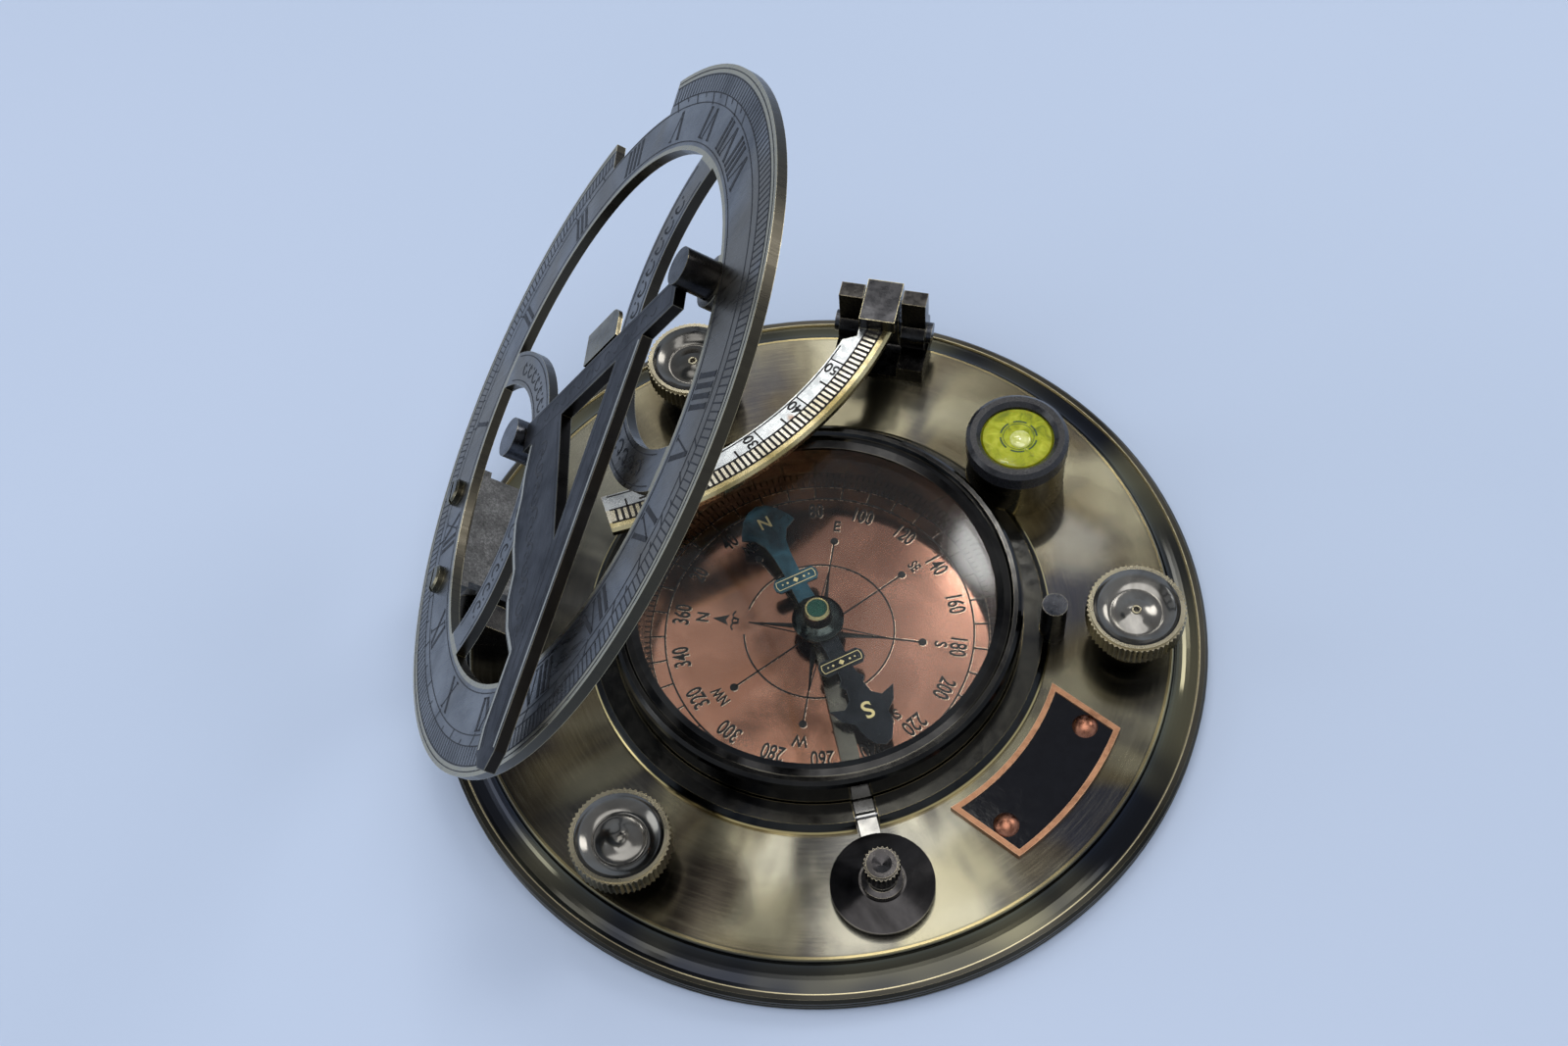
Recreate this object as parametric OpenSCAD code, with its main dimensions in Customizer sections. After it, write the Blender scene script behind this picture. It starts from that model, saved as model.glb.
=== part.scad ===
// Sundial compass: a levelled compass under a folding hour ring, with a gnomon and a latitude arc.
// Origin: centre of the underside. +Z is up, +X is the compass south, the hour ring is hinged at -X.

/* [Base plate] */
// Outer radius of the base plate
base_r = 63.5; // [62:0.5:70]
// Height of the base plate's flat top
base_h = 5.6; // [5:0.1:8]
// Radius of the flat top, where the cove begins
land_r = 57.5; // [57:0.25:59]
// Height of the outer edge
edge_h = 3.4; // [2.6:0.1:4]
// Width of the foot ring that the base stands on
foot_ring_w = 4.6; // [3:0.1:5]
// Depth of the hollow under the base plate
recess_h = 2.6; // [2:0.1:3]
// Outer radius of the raised collar round the compass
collar_r = 38; // [37:0.25:39.2]
// Height of the raised collar over the flat top
collar_h = 1.9; // [1.5:0.1:2.2]

/* [Compass] */
// Outer radius of the compass bowl
bowl_r = 31; // [30:0.25:31.5]
// Thickness of the bowl's wall
bowl_wall = 1.4; // [1:0.1:2]
// Thickness of the bowl's floor
bowl_floor = 1.2; // [0.8:0.1:1.6]
// Height of the bowl's rim, which the glass lies on
bowl_top = 11.2; // [11:0.1:13]
// Outer radius of the bezel
bezel_r = 33.3; // [33:0.1:33.8]
// Height of the bezel's top
bezel_top = 13.8; // [13.7:0.1:15]
// Radius of the opening in the bezel
bezel_open_r = 29; // [27:0.25:29.4]
// Thickness of the glass
glass_t = 1.4; // [1:0.1:1.6]
// Thickness of the dial
dial_t = 0.5; // [0.4:0.1:0.8]
// Direction of the needle's north end
needle_az = 121; // [0:1:359]
// Length of the needle's north arm
needle_n = 24.5; // [20:0.5:26]
// Length of the needle's south arm
needle_s = 25; // [20:0.5:26]
// Thickness of the needle
needle_t = 0.4; // [0.3:0.05:0.6]
// Radius of the needle's cap
cap_r = 4.3; // [3.5:0.1:5]
// Radius of the pivot pin
pivot_r = 0.55; // [0.4:0.05:0.8]

/* [Needle lifter] */
// Distance of the lifter's axis from the centre
lifter_ring_r = 47.4; // [46.8:0.1:48]
// Direction of the lifter
lifter_az = -72.8; // [-80:0.1:-70]
// Radius of the lifter's disc
lifter_disc_r = 8; // [7.4:0.1:8.4]
// Radius of the lifter's knob
lifter_knob_r = 2.8; // [2.2:0.1:3.2]
// Height of the lifter's top
lifter_top = 15.6; // [14:0.1:17]
// Width of the lever
lever_w = 3; // [2:0.1:3.4]
// Thickness of the lever
lever_t = 0.6; // [0.5:0.05:0.7]
// Distance of the lever's pivot from the centre
lever_pivot_r = 36; // [35.4:0.1:36.4]
// Height of the lever where it passes the collar
lever_z = 6.75; // [6.7:0.05:6.85]
// Radius of the lever's pin
lever_pin_r = 0.35; // [0.3:0.01:0.4]

/* [Levelling screws] */
// Distance of the screws from the centre
level_ring_r = 50.85; // [50:0.05:51.5]
// Radius of a screw's knurled head
level_head_r = 7.85; // [7:0.05:8]
// Height of a head's top
level_top = 16; // [15.6:0.1:17]
// Thickness of a head
level_head_t = 3.9; // [3.4:0.1:4]
// Outer radius of the skirt under a head
level_skirt_r = 6.1; // [5.9:0.1:6.4]
// Radius of a screw's shank
level_shank_r = 2; // [1.6:0.05:2.4]
// Radius of the bush that a screw turns in
level_bush_r = 4.6; // [4.2:0.1:4.7]
// How far a screw comes down
level_travel = 2.8; // [2:0.1:2.9]
// Radius of a foot
level_foot_r = 3.5; // [3:0.1:4]

/* [Bubble level] */
// Place of the bubble level along X
bubble_x = 31; // [30.6:0.1:32]
// Place of the bubble level along Y
bubble_y = 30; // [29.8:0.1:31]
// Outer radius of the holder
bubble_r = 8.3; // [8:0.1:8.5]
// Radius of the vial
vial_r = 6.6; // [6:0.1:7]
// Height of the black cap's top
bubble_top = 18; // [17.8:0.1:18.4]
// Height of the black cap
bubble_cap_h = 3.4; // [3:0.1:6]

/* [Hour ring] */
// Distance of the ring's hinge from the centre
hinge_r = 56; // [55.5:0.1:56.4]
// Height of the ring's hinge
hinge_z = 11.3; // [11:0.1:12]
// Distance from the hinge up to the middle of the ring
ring_off = 9.4; // [9:0.1:10]
// Tilt of the ring as photographed
ring_tilt = 54.4; // [0:0.1:90]
// Outer radius of the ring
ring_r = 53; // [52.6:0.1:53.4]
// Inner radius of the ring
ring_in_r = 40; // [39.6:0.1:41]
// Thickness of the ring
ring_t = 1.5; // [1.2:0.1:1.8]
// Outer radius of the ring in its notch
notch_r = 47.5; // [47:0.1:48]
// Where the notch begins, from the ring's far end
notch_from = 71; // [68:0.5:73]
// Where the notch ends
notch_to = 94; // [92:0.5:96]
// Distance of each cross arm's centre from the ring's centre
arm_centre = 39; // [38:0.25:40]
// Inner radius of a cross arm
arm_in_r = 23; // [22.6:0.1:24]
// Width of a cross arm
arm_w = 5.6; // [5:0.1:6]
// Radius of the hinge pins
hinge_pin_r = 1.2; // [1:0.05:1.3]
// Radius of the ring's hinge barrel
barrel_r = 2.9; // [2.6:0.05:3]
// Half width of the ring's hinge barrel
barrel_half = 3.8; // [3.4:0.1:4]
// Width of one bracket ear
ear_w = 4.4; // [4:0.1:5]

/* [Gnomon] */
// Height of the gnomon's axis over the middle of the ring
gnomon_n = 3.4; // [3.3:0.05:3.8]
// Thickness of the gnomon plate
gnomon_t = 1.6; // [1.2:0.1:1.8]
// Length from the axis to the gnomon's tip
gnomon_len = 56; // [50:0.5:57]
// Place of the inner post along the ring
post_in_u = -12; // [-13:0.1:-11.6]
// Radius of the inner post
post_in_r = 3; // [2.6:0.1:3.2]
// Place of the outer post along the ring
post_out_u = 38.3; // [38:0.1:38.8]
// Radius of the outer post
post_out_r = 2.6; // [2.4:0.1:2.8]
// Height of the posts over the middle of the ring
post_h = 5.6; // [5.4:0.1:6.4]
// How far the outer post reaches below the middle of the ring
post_drop = 5.2; // [4.6:0.1:5.4]
// Radius of the gnomon's pivots
gnomon_pivot_r = 0.75; // [0.6:0.05:0.8]

/* [Latitude arc] */
// Distance of the arc's hinge from the centre
arc_hinge_r = 56.4; // [56:0.1:57]
// Direction of the arc's hinge
arc_az = 82.9; // [82:0.1:84]
// Height of the arc's hinge
arc_hinge_z = 11.5; // [11.2:0.1:12]
// Outer radius of the arc
arc_r = 69.3; // [68.8:0.1:69.8]
// Width of the arc
arc_w = 6.9; // [6:0.1:7.4]
// Thickness of the arc
arc_t = 1.6; // [1.2:0.1:1.7]
// Height of the arc's top when it lies flat
arc_top = 18.5; // [18.3:0.1:18.6]
// Centre of the arc along X when it lies flat
arc_x = -56.8; // [-57.4:0.1:-56.4]
// Centre of the arc along Y when it lies flat
arc_y = 72.4; // [72:0.1:73]
// Where the arc's outer edge ends
arc_end_out = 70.5; // [66:0.5:70.5]
// Where the arc's inner edge ends
arc_end_in = 71; // [66:0.5:71]
// Thickness of the plate over the arc's end
knuckle_plate_t = 2.7; // [2:0.1:2.8]

/* [Nameplate] */
// Direction of the nameplate
plate_az = -33.6; // [-36:0.1:-32]
// Radius of the nameplate's inner edge
plate_in_r = 39.6; // [39.4:0.1:40.5]
// Radius of the nameplate's outer edge
plate_out_r = 52; // [50:0.1:53]
// Half width of the nameplate
plate_half = 13.5; // [12:0.1:14]
// Thickness of the nameplate
plate_t = 0.8; // [0.6:0.1:1.2]
// Radius of a rivet's head
rivet_r = 2; // [1.5:0.1:2.2]

/* [Rest pin] */
// Radius of the pin that the folded ring rests on
rest_pin_r = 2.05; // [1.8:0.05:2.4]

/* [Fits] */
// Running clearance of a shaft in its hole
fit = 0.05; // [0.02:0.01:0.09]
// Free clearance between pieces that pass each other
gap = 0.3; // [0.3:0.05:0.4]

/* [Hidden] */
$fn = 96;

// Base plate
edge_break = 0.5;
cove_lip = 1.4;
cove_drop = 0.3;
edge_groove = 0.4;
hole_r = bowl_r + fit;
collar_in_r = bezel_r + 0.2;

// Compass
dial_z = bowl_floor;
dial_top = dial_z + dial_t;
glass_z = bowl_top;
glass_top = glass_z + glass_t;
nut_r = bowl_r + 5;
nut_h = recess_h - 0.6;
lift = 1;
lever_in_z = dial_top + 1.1;
washer_z = lever_in_z + lever_t + gap;
washer_t = 0.6;
washer_r = 2.6;
cap_z = washer_z + washer_t + gap;
cap_stem_h = 0.5;
blade_z = cap_z + cap_stem_h;
cap_disc_h = 1.3;
cap_knob_r = 2.2;
cap_top = glass_z - lift - 0.8;
pivot_top = cap_top - 1.2;
lever_ring_r = 3.2;

// Needle lifter
lever_drop_out_r = bowl_r - bowl_wall - gap;
lever_drop_in_r = lever_drop_out_r - 2;
lever_end_r = lifter_ring_r - lifter_disc_r + 1.8;
lever_arm_in = lever_pivot_r;
lever_arm_out = lever_end_r - lever_pivot_r;
disc_z = lever_z + lever_t / 2 + fit;
disc_edge_t = 0.5;
disc_h = 1.8;
disc_top_r = 3.6;
lifter_travel = 0.12;
lifter_bush_r = 5.4;
lifter_bush_top = disc_z - lifter_travel - 0.1;
lifter_shank_r = 1.5;
slot_w = lever_w + 2 * gap;
slot_lo = lever_z - lever_t / 2 - gap;
slot_hi = lever_z + lever_t / 2 + gap;

// Levelling screws
level_az = [0, 120, 240];
head_z = level_top - level_head_t;
skirt_z = base_h + level_travel + gap;
skirt_in_r = level_bush_r + gap;
bush_top = head_z - level_travel - gap;
foot_z = 0.3;
foot_h = 1.9;
socket_z = 0.9;
knurls = 56;
knurl_d = 0.35;

// Hour ring
arm_out_r = arm_in_r + arm_w;
leaf_t = 1.5;
leaf_half = 10.5;
web_half = 9.5;
web_u = -41.5;
web_t = 2;
screw_u = -45;
screw_v = 8;
screw_head_r = 2.2;
screw_head_h = 1.2;
screw_r = 1.2;
ear_in = barrel_half + gap;
ear_out = ear_in + ear_w;
eye_r = barrel_r + 0.3;
bracket_foot = 1.6;
bracket_in_x = -47;
bracket_out_x = -57.2;

// Gnomon
strip_v = 1;
strip_w = 4.7;
strip_u0 = post_in_u + post_in_r + gap;
strip_u1 = post_out_u - post_out_r - gap;
pivot_len = 2;
catch_u = 13.5;
catch_w = 9.6;
catch_len = 6.8;
catch_t = 0.6;
post_seat_r = post_out_r + 1;

// Latitude arc
knuckle_half = 3.1;
knuckle_out = 2.5;
knuckle_in = 6.2;
knuckle_top = arc_top + knuckle_plate_t;
arc_ear_top = 20.7;
arc_ear_half = 7.6;
arc_ear_back = 1.5;
arc_ear_front = 1.5;
arc_foot_h = 3.4;
arc_foot_front = 6.8;
arc_foot_half = 8;
arc_ear_reach = norm([arc_ear_top - arc_hinge_z, arc_ear_front]) + gap;
arc_clear = sqrt(pow(arc_ear_reach, 2) - pow(arc_top - arc_t - arc_hinge_z, 2));
pin_head_r = 1.9;
pin_head_h = 1;

// Rest pin: halfway between the bezel and a screw's head, just under the folded ring's outer post
rest_pin_x = (bezel_r + level_ring_r - level_head_r) / 2;
rest_pin_top = hinge_z + ring_off - post_drop - gap;

// Nameplate
plate_border = 0.9;
plate_field_d = 0.25;
rivet_dome = 2.4;
rivet_y = plate_half - plate_border - rivet_r - 0.1;
rivet_centre_r = plate_in_r + 0.58 * (plate_out_r - plate_in_r);
rivet_x = sqrt(pow(rivet_centre_r, 2) - pow(rivet_y, 2));

// Bubble level
holder_floor = 1.4;
vial_z = base_h + holder_floor + fit;
cap_lip = 0.5;
vial_top = bubble_top - 0.9;

// Moves a shape from the centre to a place given by its distance and direction
module at_polar(r, az, z = 0) {
    rotate([0, 0, az])
        translate([r, 0, z])
            children();
}

// A tube between two heights
module tube(r_out, r_in, z0, z1) {
    translate([0, 0, z0])
        difference() {
            cylinder(r = r_out, h = z1 - z0);
            translate([0, 0, -1])
                cylinder(r = r_in, h = z1 - z0 + 2);
        }
}

// A rod between two heights
module rod(r, z0, z1) {
    translate([0, 0, z0])
        cylinder(r = r, h = z1 - z0);
}

// A rod along Y, centred on y = 0
module rod_y(r, half) {
    rotate([90, 0, 0])
        translate([0, 0, -half])
            cylinder(r = r, h = 2 * half);
}

// A box between two corners
module box(lo, hi) {
    translate(lo)
        cube(hi - lo);
}

// A round disc with fine teeth on its edge
module knurled(r, h, teeth, depth) {
    points = [for (i = [0 : 2 * teeth - 1])
        let (a = i * 180 / teeth, rr = r - (i % 2) * depth)
        [rr * cos(a), rr * sin(a)]];
    linear_extrude(height = h)
        polygon(points);
}

// The part of a flat shape between two directions
module wedge(r, a0, a1, h) {
    steps = 6;
    points = concat([[0, 0]], [for (i = [0 : steps])
        let (a = a0 + (a1 - a0) * i / steps)
        [r * cos(a), r * sin(a)]]);
    linear_extrude(height = h)
        polygon(points);
}

// Base plate: edge with two grooves, concave cove, flat top and a hollow underside
cove_out_r = base_r - cove_lip;
cove_z = base_h - cove_drop;
cove_points = [for (a = [90 : -10 : 0])
    [cove_out_r - (cove_out_r - land_r - cove_drop) * cos(a),
     cove_z - (cove_z - edge_h + edge_groove) * sin(a)]];
module groove_at(z) {
    translate([0, 0, z])
        rotate_extrude()
            translate([base_r, 0])
                rotate(45)
                    square(edge_groove, center = true);
}

module base_plate() {
    profile = concat(
        [[hole_r, recess_h], [base_r - foot_ring_w, recess_h], [base_r - foot_ring_w, 0],
         [base_r - edge_break, 0], [base_r, edge_break], [base_r, edge_h - edge_break],
         [base_r - edge_break, edge_h], [cove_out_r, edge_h]],
        cove_points,
        [[land_r, base_h], [hole_r, base_h]]);
    color([0.50, 0.46, 0.34])
        difference() {
            rotate_extrude()
                polygon(profile);
            for (k = [0.32, 0.62])
                groove_at(edge_h * k);
            for (az = level_az)
                at_polar(level_ring_r, az, -1)
                    cylinder(r = level_bush_r - 0.6 + fit, h = base_h + 2);
            at_polar(lifter_ring_r, lifter_az, -1)
                cylinder(r = lifter_shank_r + 1, h = base_h + 2);
        }
}

// Raised collar round the compass, cut for the lever, its pin, the rest pin and the bubble level
module collar_ring() {
    profile = [[collar_in_r, base_h], [collar_r, base_h], [collar_r, base_h + 0.7],
        [collar_r - 0.5, base_h + 1.1], [collar_r - 1.2, base_h + collar_h],
        [collar_in_r, base_h + collar_h]];
    color([0.13, 0.13, 0.15])
        difference() {
            rotate_extrude()
                polygon(profile);
            rotate([0, 0, lifter_az])
                box([collar_in_r - 1, -slot_w / 2, base_h - 1], [collar_r + 1, slot_w / 2, base_h + collar_h + 1]);
            at_polar(lever_pivot_r, lifter_az, lever_z)
                rod_y(lever_pin_r + fit, lever_w / 2 + 2.4);
            translate([rest_pin_x, 0, 0])
                rod(rest_pin_r + fit, base_h - 1, base_h + collar_h + 1);
            translate([bubble_x, bubble_y, 0])
                rod(bubble_r + fit, base_h - 1, base_h + collar_h + 1);
        }
}

// Compass bowl: a cup through the base plate, with a slot for the lever
module compass_bowl() {
    color([0.55, 0.47, 0.28])
        difference() {
            rod(bowl_r, 0, bowl_top);
            rod(bowl_r - bowl_wall, bowl_floor, bowl_top + 1);
            lever_slot();
        }
}

module lever_slot() {
    rotate([0, 0, lifter_az])
        box([bowl_r - bowl_wall - 2, -slot_w / 2, slot_lo], [bezel_r + 2, slot_w / 2, slot_hi + 0.3]);
}

// Ring nut that clamps the bowl from below
module bowl_nut() {
    color([0.52, 0.45, 0.28])
        tube(nut_r, bowl_r + fit, recess_h - nut_h, recess_h);
}

module compass_dial() {
    color([0.72, 0.40, 0.28])
        tube(bowl_r - bowl_wall - fit, pivot_r + 0.8, dial_z, dial_top);
}

// Bezel: a stepped ring that holds the glass down on the bowl
module bezel() {
    profile = [[bowl_r + fit, base_h], [bezel_r, base_h], [bezel_r, bezel_top - 1.2],
        [bezel_r - 0.3, bezel_top - 0.5], [bezel_r - 0.9, bezel_top], [bezel_r - 1.6, bezel_top],
        [bezel_r - 2, bezel_top - 0.7], [bezel_open_r + 1.2, bezel_top - 0.5],
        [bezel_open_r, bezel_top - 1], [bezel_open_r, glass_top], [bowl_r + fit, glass_top]];
    color([0.24, 0.23, 0.22])
        difference() {
            rotate_extrude()
                polygon(profile);
            lever_slot();
        }
}

module glass() {
    color([0.85, 0.90, 0.92, 0.35])
        rod(bowl_r, glass_z, glass_top);
}

// Pivot pin: a flanged post with a fine point
module pivot_pin() {
    color([0.62, 0.62, 0.64]) {
        rod(pivot_r + 0.75, dial_z, dial_top);
        rod(2, dial_top, dial_top + 0.6);
        rod(pivot_r, dial_top, pivot_top - 1.2);
        translate([0, 0, pivot_top - 1.2])
            cylinder(r1 = pivot_r, r2 = 0.06, h = 1.2);
    }
}

// Half outline of the needle's north arm: half width, distance from the pivot
north_half = [[1.5, 3], [1.4, 7.2], [3.3, 7.2], [3.9, 8], [3.9, 9], [3.3, 9.8], [1.3, 9.8],
    [1.5, 14], [1.9, 16.4], [2.9, 18.3], [4.9, 19.4], [4.4, 20.6], [3.2, 22.6], [1.6, 24]];
// Half outline of the needle's south arm
south_half = [[1.5, 3], [1.4, 7.4], [3.2, 7.4], [3.9, 8.2], [3.9, 9.4], [3.2, 10.2], [1.3, 10.2],
    [1.5, 11.8], [2.2, 12.6], [1.5, 13.6], [1.9, 15.6], [3.3, 16.8], [5.7, 16], [4.6, 18.4],
    [2.9, 19.9], [2.4, 22.6], [1.3, 24.4]];
function needle_arm(half, reach, tip, count) = concat(
    [for (p = half) p * reach / tip],
    [[0, reach]],
    [for (i = [1 : 1 : count]) [-half[count - i][0], half[count - i][1]] * reach / tip]);

module needle_blade() {
    stem_r = cap_knob_r - 0.3;
    color([0.10, 0.18, 0.26])
        rotate([0, 0, needle_az - 90])
            translate([0, 0, blade_z])
                difference() {
                    linear_extrude(height = needle_t)
                        union() {
                            circle(r = cap_r - 0.4);
                            polygon(needle_arm(north_half, needle_n, 24.5, len(north_half)));
                            rotate(180)
                                polygon(needle_arm(south_half, needle_s, 25, len(south_half)));
                        }
                    translate([0, 0, -1])
                        cylinder(r = stem_r + fit, h = needle_t + 2);
                }
}

// Needle cap: a stem through the blade, a domed disc and a knob, hollow for the pivot's point
module needle_cap() {
    stem_r = cap_knob_r - 0.3;
    top = blade_z + needle_t;
    profile = [[pivot_r + 0.5, cap_z], [stem_r, cap_z], [stem_r, top], [cap_r, top],
        [cap_r, top + 0.35], [cap_r - 0.7, top + 0.9], [cap_knob_r + 0.3, top + cap_disc_h],
        [cap_knob_r, cap_top - 0.25], [cap_knob_r - 0.25, cap_top], [0, cap_top],
        [0, pivot_top + 0.1], [pivot_r + 0.5, pivot_top - 1]];
    color([0.12, 0.13, 0.13])
        rotate_extrude()
            polygon(profile);
}

// Washer that lifts the needle off its point
module lift_washer() {
    color([0.60, 0.52, 0.30])
        tube(washer_r, pivot_r + fit, washer_z, washer_z + washer_t);
}

// Lever: its outer end lies under the lifter's disc, its inner end rings the pivot
module lifter_lever() {
    lo = lever_z - lever_t / 2;
    side = [[lever_end_r, lo], [lever_end_r, lo + lever_t], [lever_drop_out_r, lo + lever_t],
        [lever_drop_in_r, lever_in_z + lever_t], [lever_ring_r - 0.6, lever_in_z + lever_t],
        [lever_ring_r - 0.6, lever_in_z], [lever_drop_in_r - 0.3, lever_in_z],
        [lever_drop_out_r - 0.3, lo]];
    color([0.60, 0.57, 0.50])
        rotate([0, 0, lifter_az])
            difference() {
                union() {
                    rotate([90, 0, 0])
                        translate([0, 0, -lever_w / 2])
                            linear_extrude(height = lever_w)
                                polygon(side);
                    rod(lever_ring_r, lever_in_z, lever_in_z + lever_t);
                    translate([lever_pivot_r, 0, lever_z])
                        rod_y(lever_pin_r + 0.3, lever_w / 2);
                }
                rod(pivot_r + 1, lever_in_z - 1, lever_in_z + lever_t + 1);
                translate([lever_pivot_r, 0, lever_z])
                    rod_y(lever_pin_r + fit, lever_w);
            }
}

module lever_pin() {
    color([0.62, 0.62, 0.64])
        at_polar(lever_pivot_r, lifter_az, lever_z)
            rod_y(lever_pin_r, lever_w / 2 + 2.2);
}

// Bush that the lifter's shank turns in
module lifter_bush() {
    color([0.16, 0.15, 0.15])
        at_polar(lifter_ring_r, lifter_az)
            difference() {
                union() {
                    rod(lifter_bush_r, base_h, lifter_bush_top);
                    rod(lifter_shank_r + 1 - fit, recess_h, base_h);
                }
                rod(lifter_shank_r + fit, 0, lifter_bush_top + 1);
            }
}

// Lifter disc: a low cone that presses the lever's outer end down
module lifter_disc() {
    profile = [[lifter_shank_r + fit, disc_z], [lifter_disc_r, disc_z],
        [lifter_disc_r, disc_z + disc_edge_t], [disc_top_r, disc_z + disc_h],
        [lifter_shank_r + fit, disc_z + disc_h]];
    color([0.20, 0.19, 0.19])
        at_polar(lifter_ring_r, lifter_az)
            rotate_extrude()
                polygon(profile);
}

// Lifter knob: shank, grooved neck and a small knurled head with a dimple
module lifter_knob() {
    neck_z = disc_z + disc_h + fit;
    knob_h = 3;
    neck_r = lifter_knob_r - 0.5;
    neck = [[0, recess_h + 0.2], [lifter_shank_r, recess_h + 0.2], [lifter_shank_r, neck_z],
        [disc_top_r - 0.4, neck_z], [disc_top_r - 0.4, neck_z + 0.5], [neck_r, neck_z + 0.8],
        [neck_r, neck_z + 1.7], [neck_r - 0.4, neck_z + 1.9], [neck_r, neck_z + 2.1],
        [neck_r, lifter_top - knob_h], [0, lifter_top - knob_h]];
    color([0.20, 0.19, 0.19])
        at_polar(lifter_ring_r, lifter_az)
            difference() {
                union() {
                    rotate_extrude()
                        polygon(neck);
                    translate([0, 0, lifter_top - knob_h])
                        knurled(lifter_knob_r, knob_h - 0.3, 24, 0.3);
                    rod(lifter_knob_r - 0.45, lifter_top - knob_h, lifter_top);
                }
                translate([0, 0, lifter_top - 0.5])
                    cylinder(r1 = 0.1, r2 = lifter_knob_r - 1, h = 0.6);
            }
}

// Threaded bushes of the levelling screws
module levelling_bushes() {
    color([0.18, 0.17, 0.16])
        for (az = level_az)
            at_polar(level_ring_r, az)
                difference() {
                    union() {
                        rod(level_bush_r, base_h, bush_top);
                        rod(level_bush_r - 0.6, recess_h, base_h);
                    }
                    rod(level_shank_r + fit, 0, bush_top + 1);
                }
}

// One levelling screw: dished knurled head, skirt over the bush and a shank into its foot
module levelling_screw(az) {
    dish_r = level_head_r - 1;
    dish = [[0, level_top - 0.9], [0.9, level_top - 1], [2.6, level_top - 1.5],
        [4.2, level_top - 2], [dish_r - 0.6, level_top - 0.9], [dish_r, level_top + 0.01],
        [dish_r, level_top + 1], [0, level_top + 1]];
    color([0.42, 0.38, 0.28])
        at_polar(level_ring_r, az)
            difference() {
                union() {
                    translate([0, 0, head_z])
                        knurled(level_head_r, level_head_t - 0.4, knurls, knurl_d);
                    rod(level_head_r - knurl_d - 0.1, head_z, level_top);
                    tube(level_skirt_r, skirt_in_r, skirt_z, head_z);
                    rod(level_shank_r, socket_z + fit, head_z);
                }
                rotate_extrude()
                    polygon(dish);
                rod(0.4, level_top - 2, level_top);
            }
}
module levelling_screw_1() {
    levelling_screw(level_az[0]);
}
module levelling_screw_2() {
    levelling_screw(level_az[1]);
}
module levelling_screw_3() {
    levelling_screw(level_az[2]);
}

// One levelling foot: a pad that swivels on the shank's end
module levelling_foot(az) {
    color([0.45, 0.40, 0.28])
        at_polar(level_ring_r, az)
            difference() {
                rod(level_foot_r, foot_z, foot_z + foot_h);
                rod(level_shank_r + fit, socket_z, foot_z + foot_h + 1);
            }
}
module levelling_foot_1() {
    levelling_foot(level_az[0]);
}
module levelling_foot_2() {
    levelling_foot(level_az[1]);
}
module levelling_foot_3() {
    levelling_foot(level_az[2]);
}

// Bubble level: brass cup, vial and black cap ring
module bubble_holder() {
    color([0.50, 0.45, 0.30])
        translate([bubble_x, bubble_y, 0])
            difference() {
                rod(bubble_r, base_h, bubble_top - bubble_cap_h);
                rod(vial_r + fit, vial_z - fit, bubble_top);
            }
}

module bubble_vial() {
    color([0.80, 0.85, 0.15, 0.6])
        translate([bubble_x, bubble_y, 0]) {
            rod(vial_r, vial_z, vial_top - 0.5);
            translate([0, 0, vial_top - 0.5])
                cylinder(r1 = vial_r - cap_lip - 0.1, r2 = vial_r - cap_lip - 0.4, h = 0.5);
        }
}

module bubble_cap() {
    cap_z0 = bubble_top - bubble_cap_h;
    profile = [[vial_r + fit, cap_z0], [bubble_r + 0.2, cap_z0], [bubble_r + 0.2, bubble_top - 0.7],
        [bubble_r - 0.5, bubble_top], [vial_r + 0.2, bubble_top], [vial_r - cap_lip, bubble_top - 0.7],
        [vial_r - cap_lip, vial_top - 0.5 + fit], [vial_r + fit, vial_top - 0.5 + fit]];
    color([0.07, 0.07, 0.08])
        translate([bubble_x, bubble_y, 0])
            rotate_extrude()
                polygon(profile);
}

module rest_pin() {
    color([0.35, 0.35, 0.38])
        translate([rest_pin_x, 0, 0])
            rod(rest_pin_r, base_h, rest_pin_top);
}

// Nameplate: a bare field inside a raised border, cut by two arcs and two parallel sides
module plate_outline(inset) {
    intersection() {
        difference() {
            circle(r = plate_out_r - inset);
            circle(r = plate_in_r + inset);
        }
        translate([0, -plate_half + inset])
            square([plate_out_r, 2 * (plate_half - inset)]);
    }
}

module nameplate() {
    color([0.60, 0.36, 0.24])
        rotate([0, 0, plate_az])
            translate([0, 0, base_h])
                difference() {
                    linear_extrude(height = plate_t)
                        plate_outline(0);
                    translate([0, 0, plate_t - plate_field_d])
                        linear_extrude(height = 1)
                            plate_outline(plate_border);
                    for (s = [-1, 1])
                        translate([rivet_x, s * rivet_y, -1])
                            cylinder(r = rivet_r / 2 + fit, h = 4);
                }
}

module nameplate_rivets() {
    seat = base_h + plate_t - plate_field_d;
    color([0.62, 0.34, 0.22])
        rotate([0, 0, plate_az])
            for (s = [-1, 1])
                translate([rivet_x, s * rivet_y, 0]) {
                    rod(rivet_r / 2, base_h, seat);
                    intersection() {
                        translate([0, 0, seat + 1.1 - rivet_dome])
                            sphere(r = rivet_dome);
                        rod(rivet_r + 1, seat, seat + 3);
                    }
                }
}

// Puts a shape drawn round the ring's centre into its place on the tilted ring
module on_ring() {
    translate([-hinge_r, 0, hinge_z])
        rotate([0, -ring_tilt, 0])
            translate([hinge_r, 0, ring_off])
                children();
}

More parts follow.
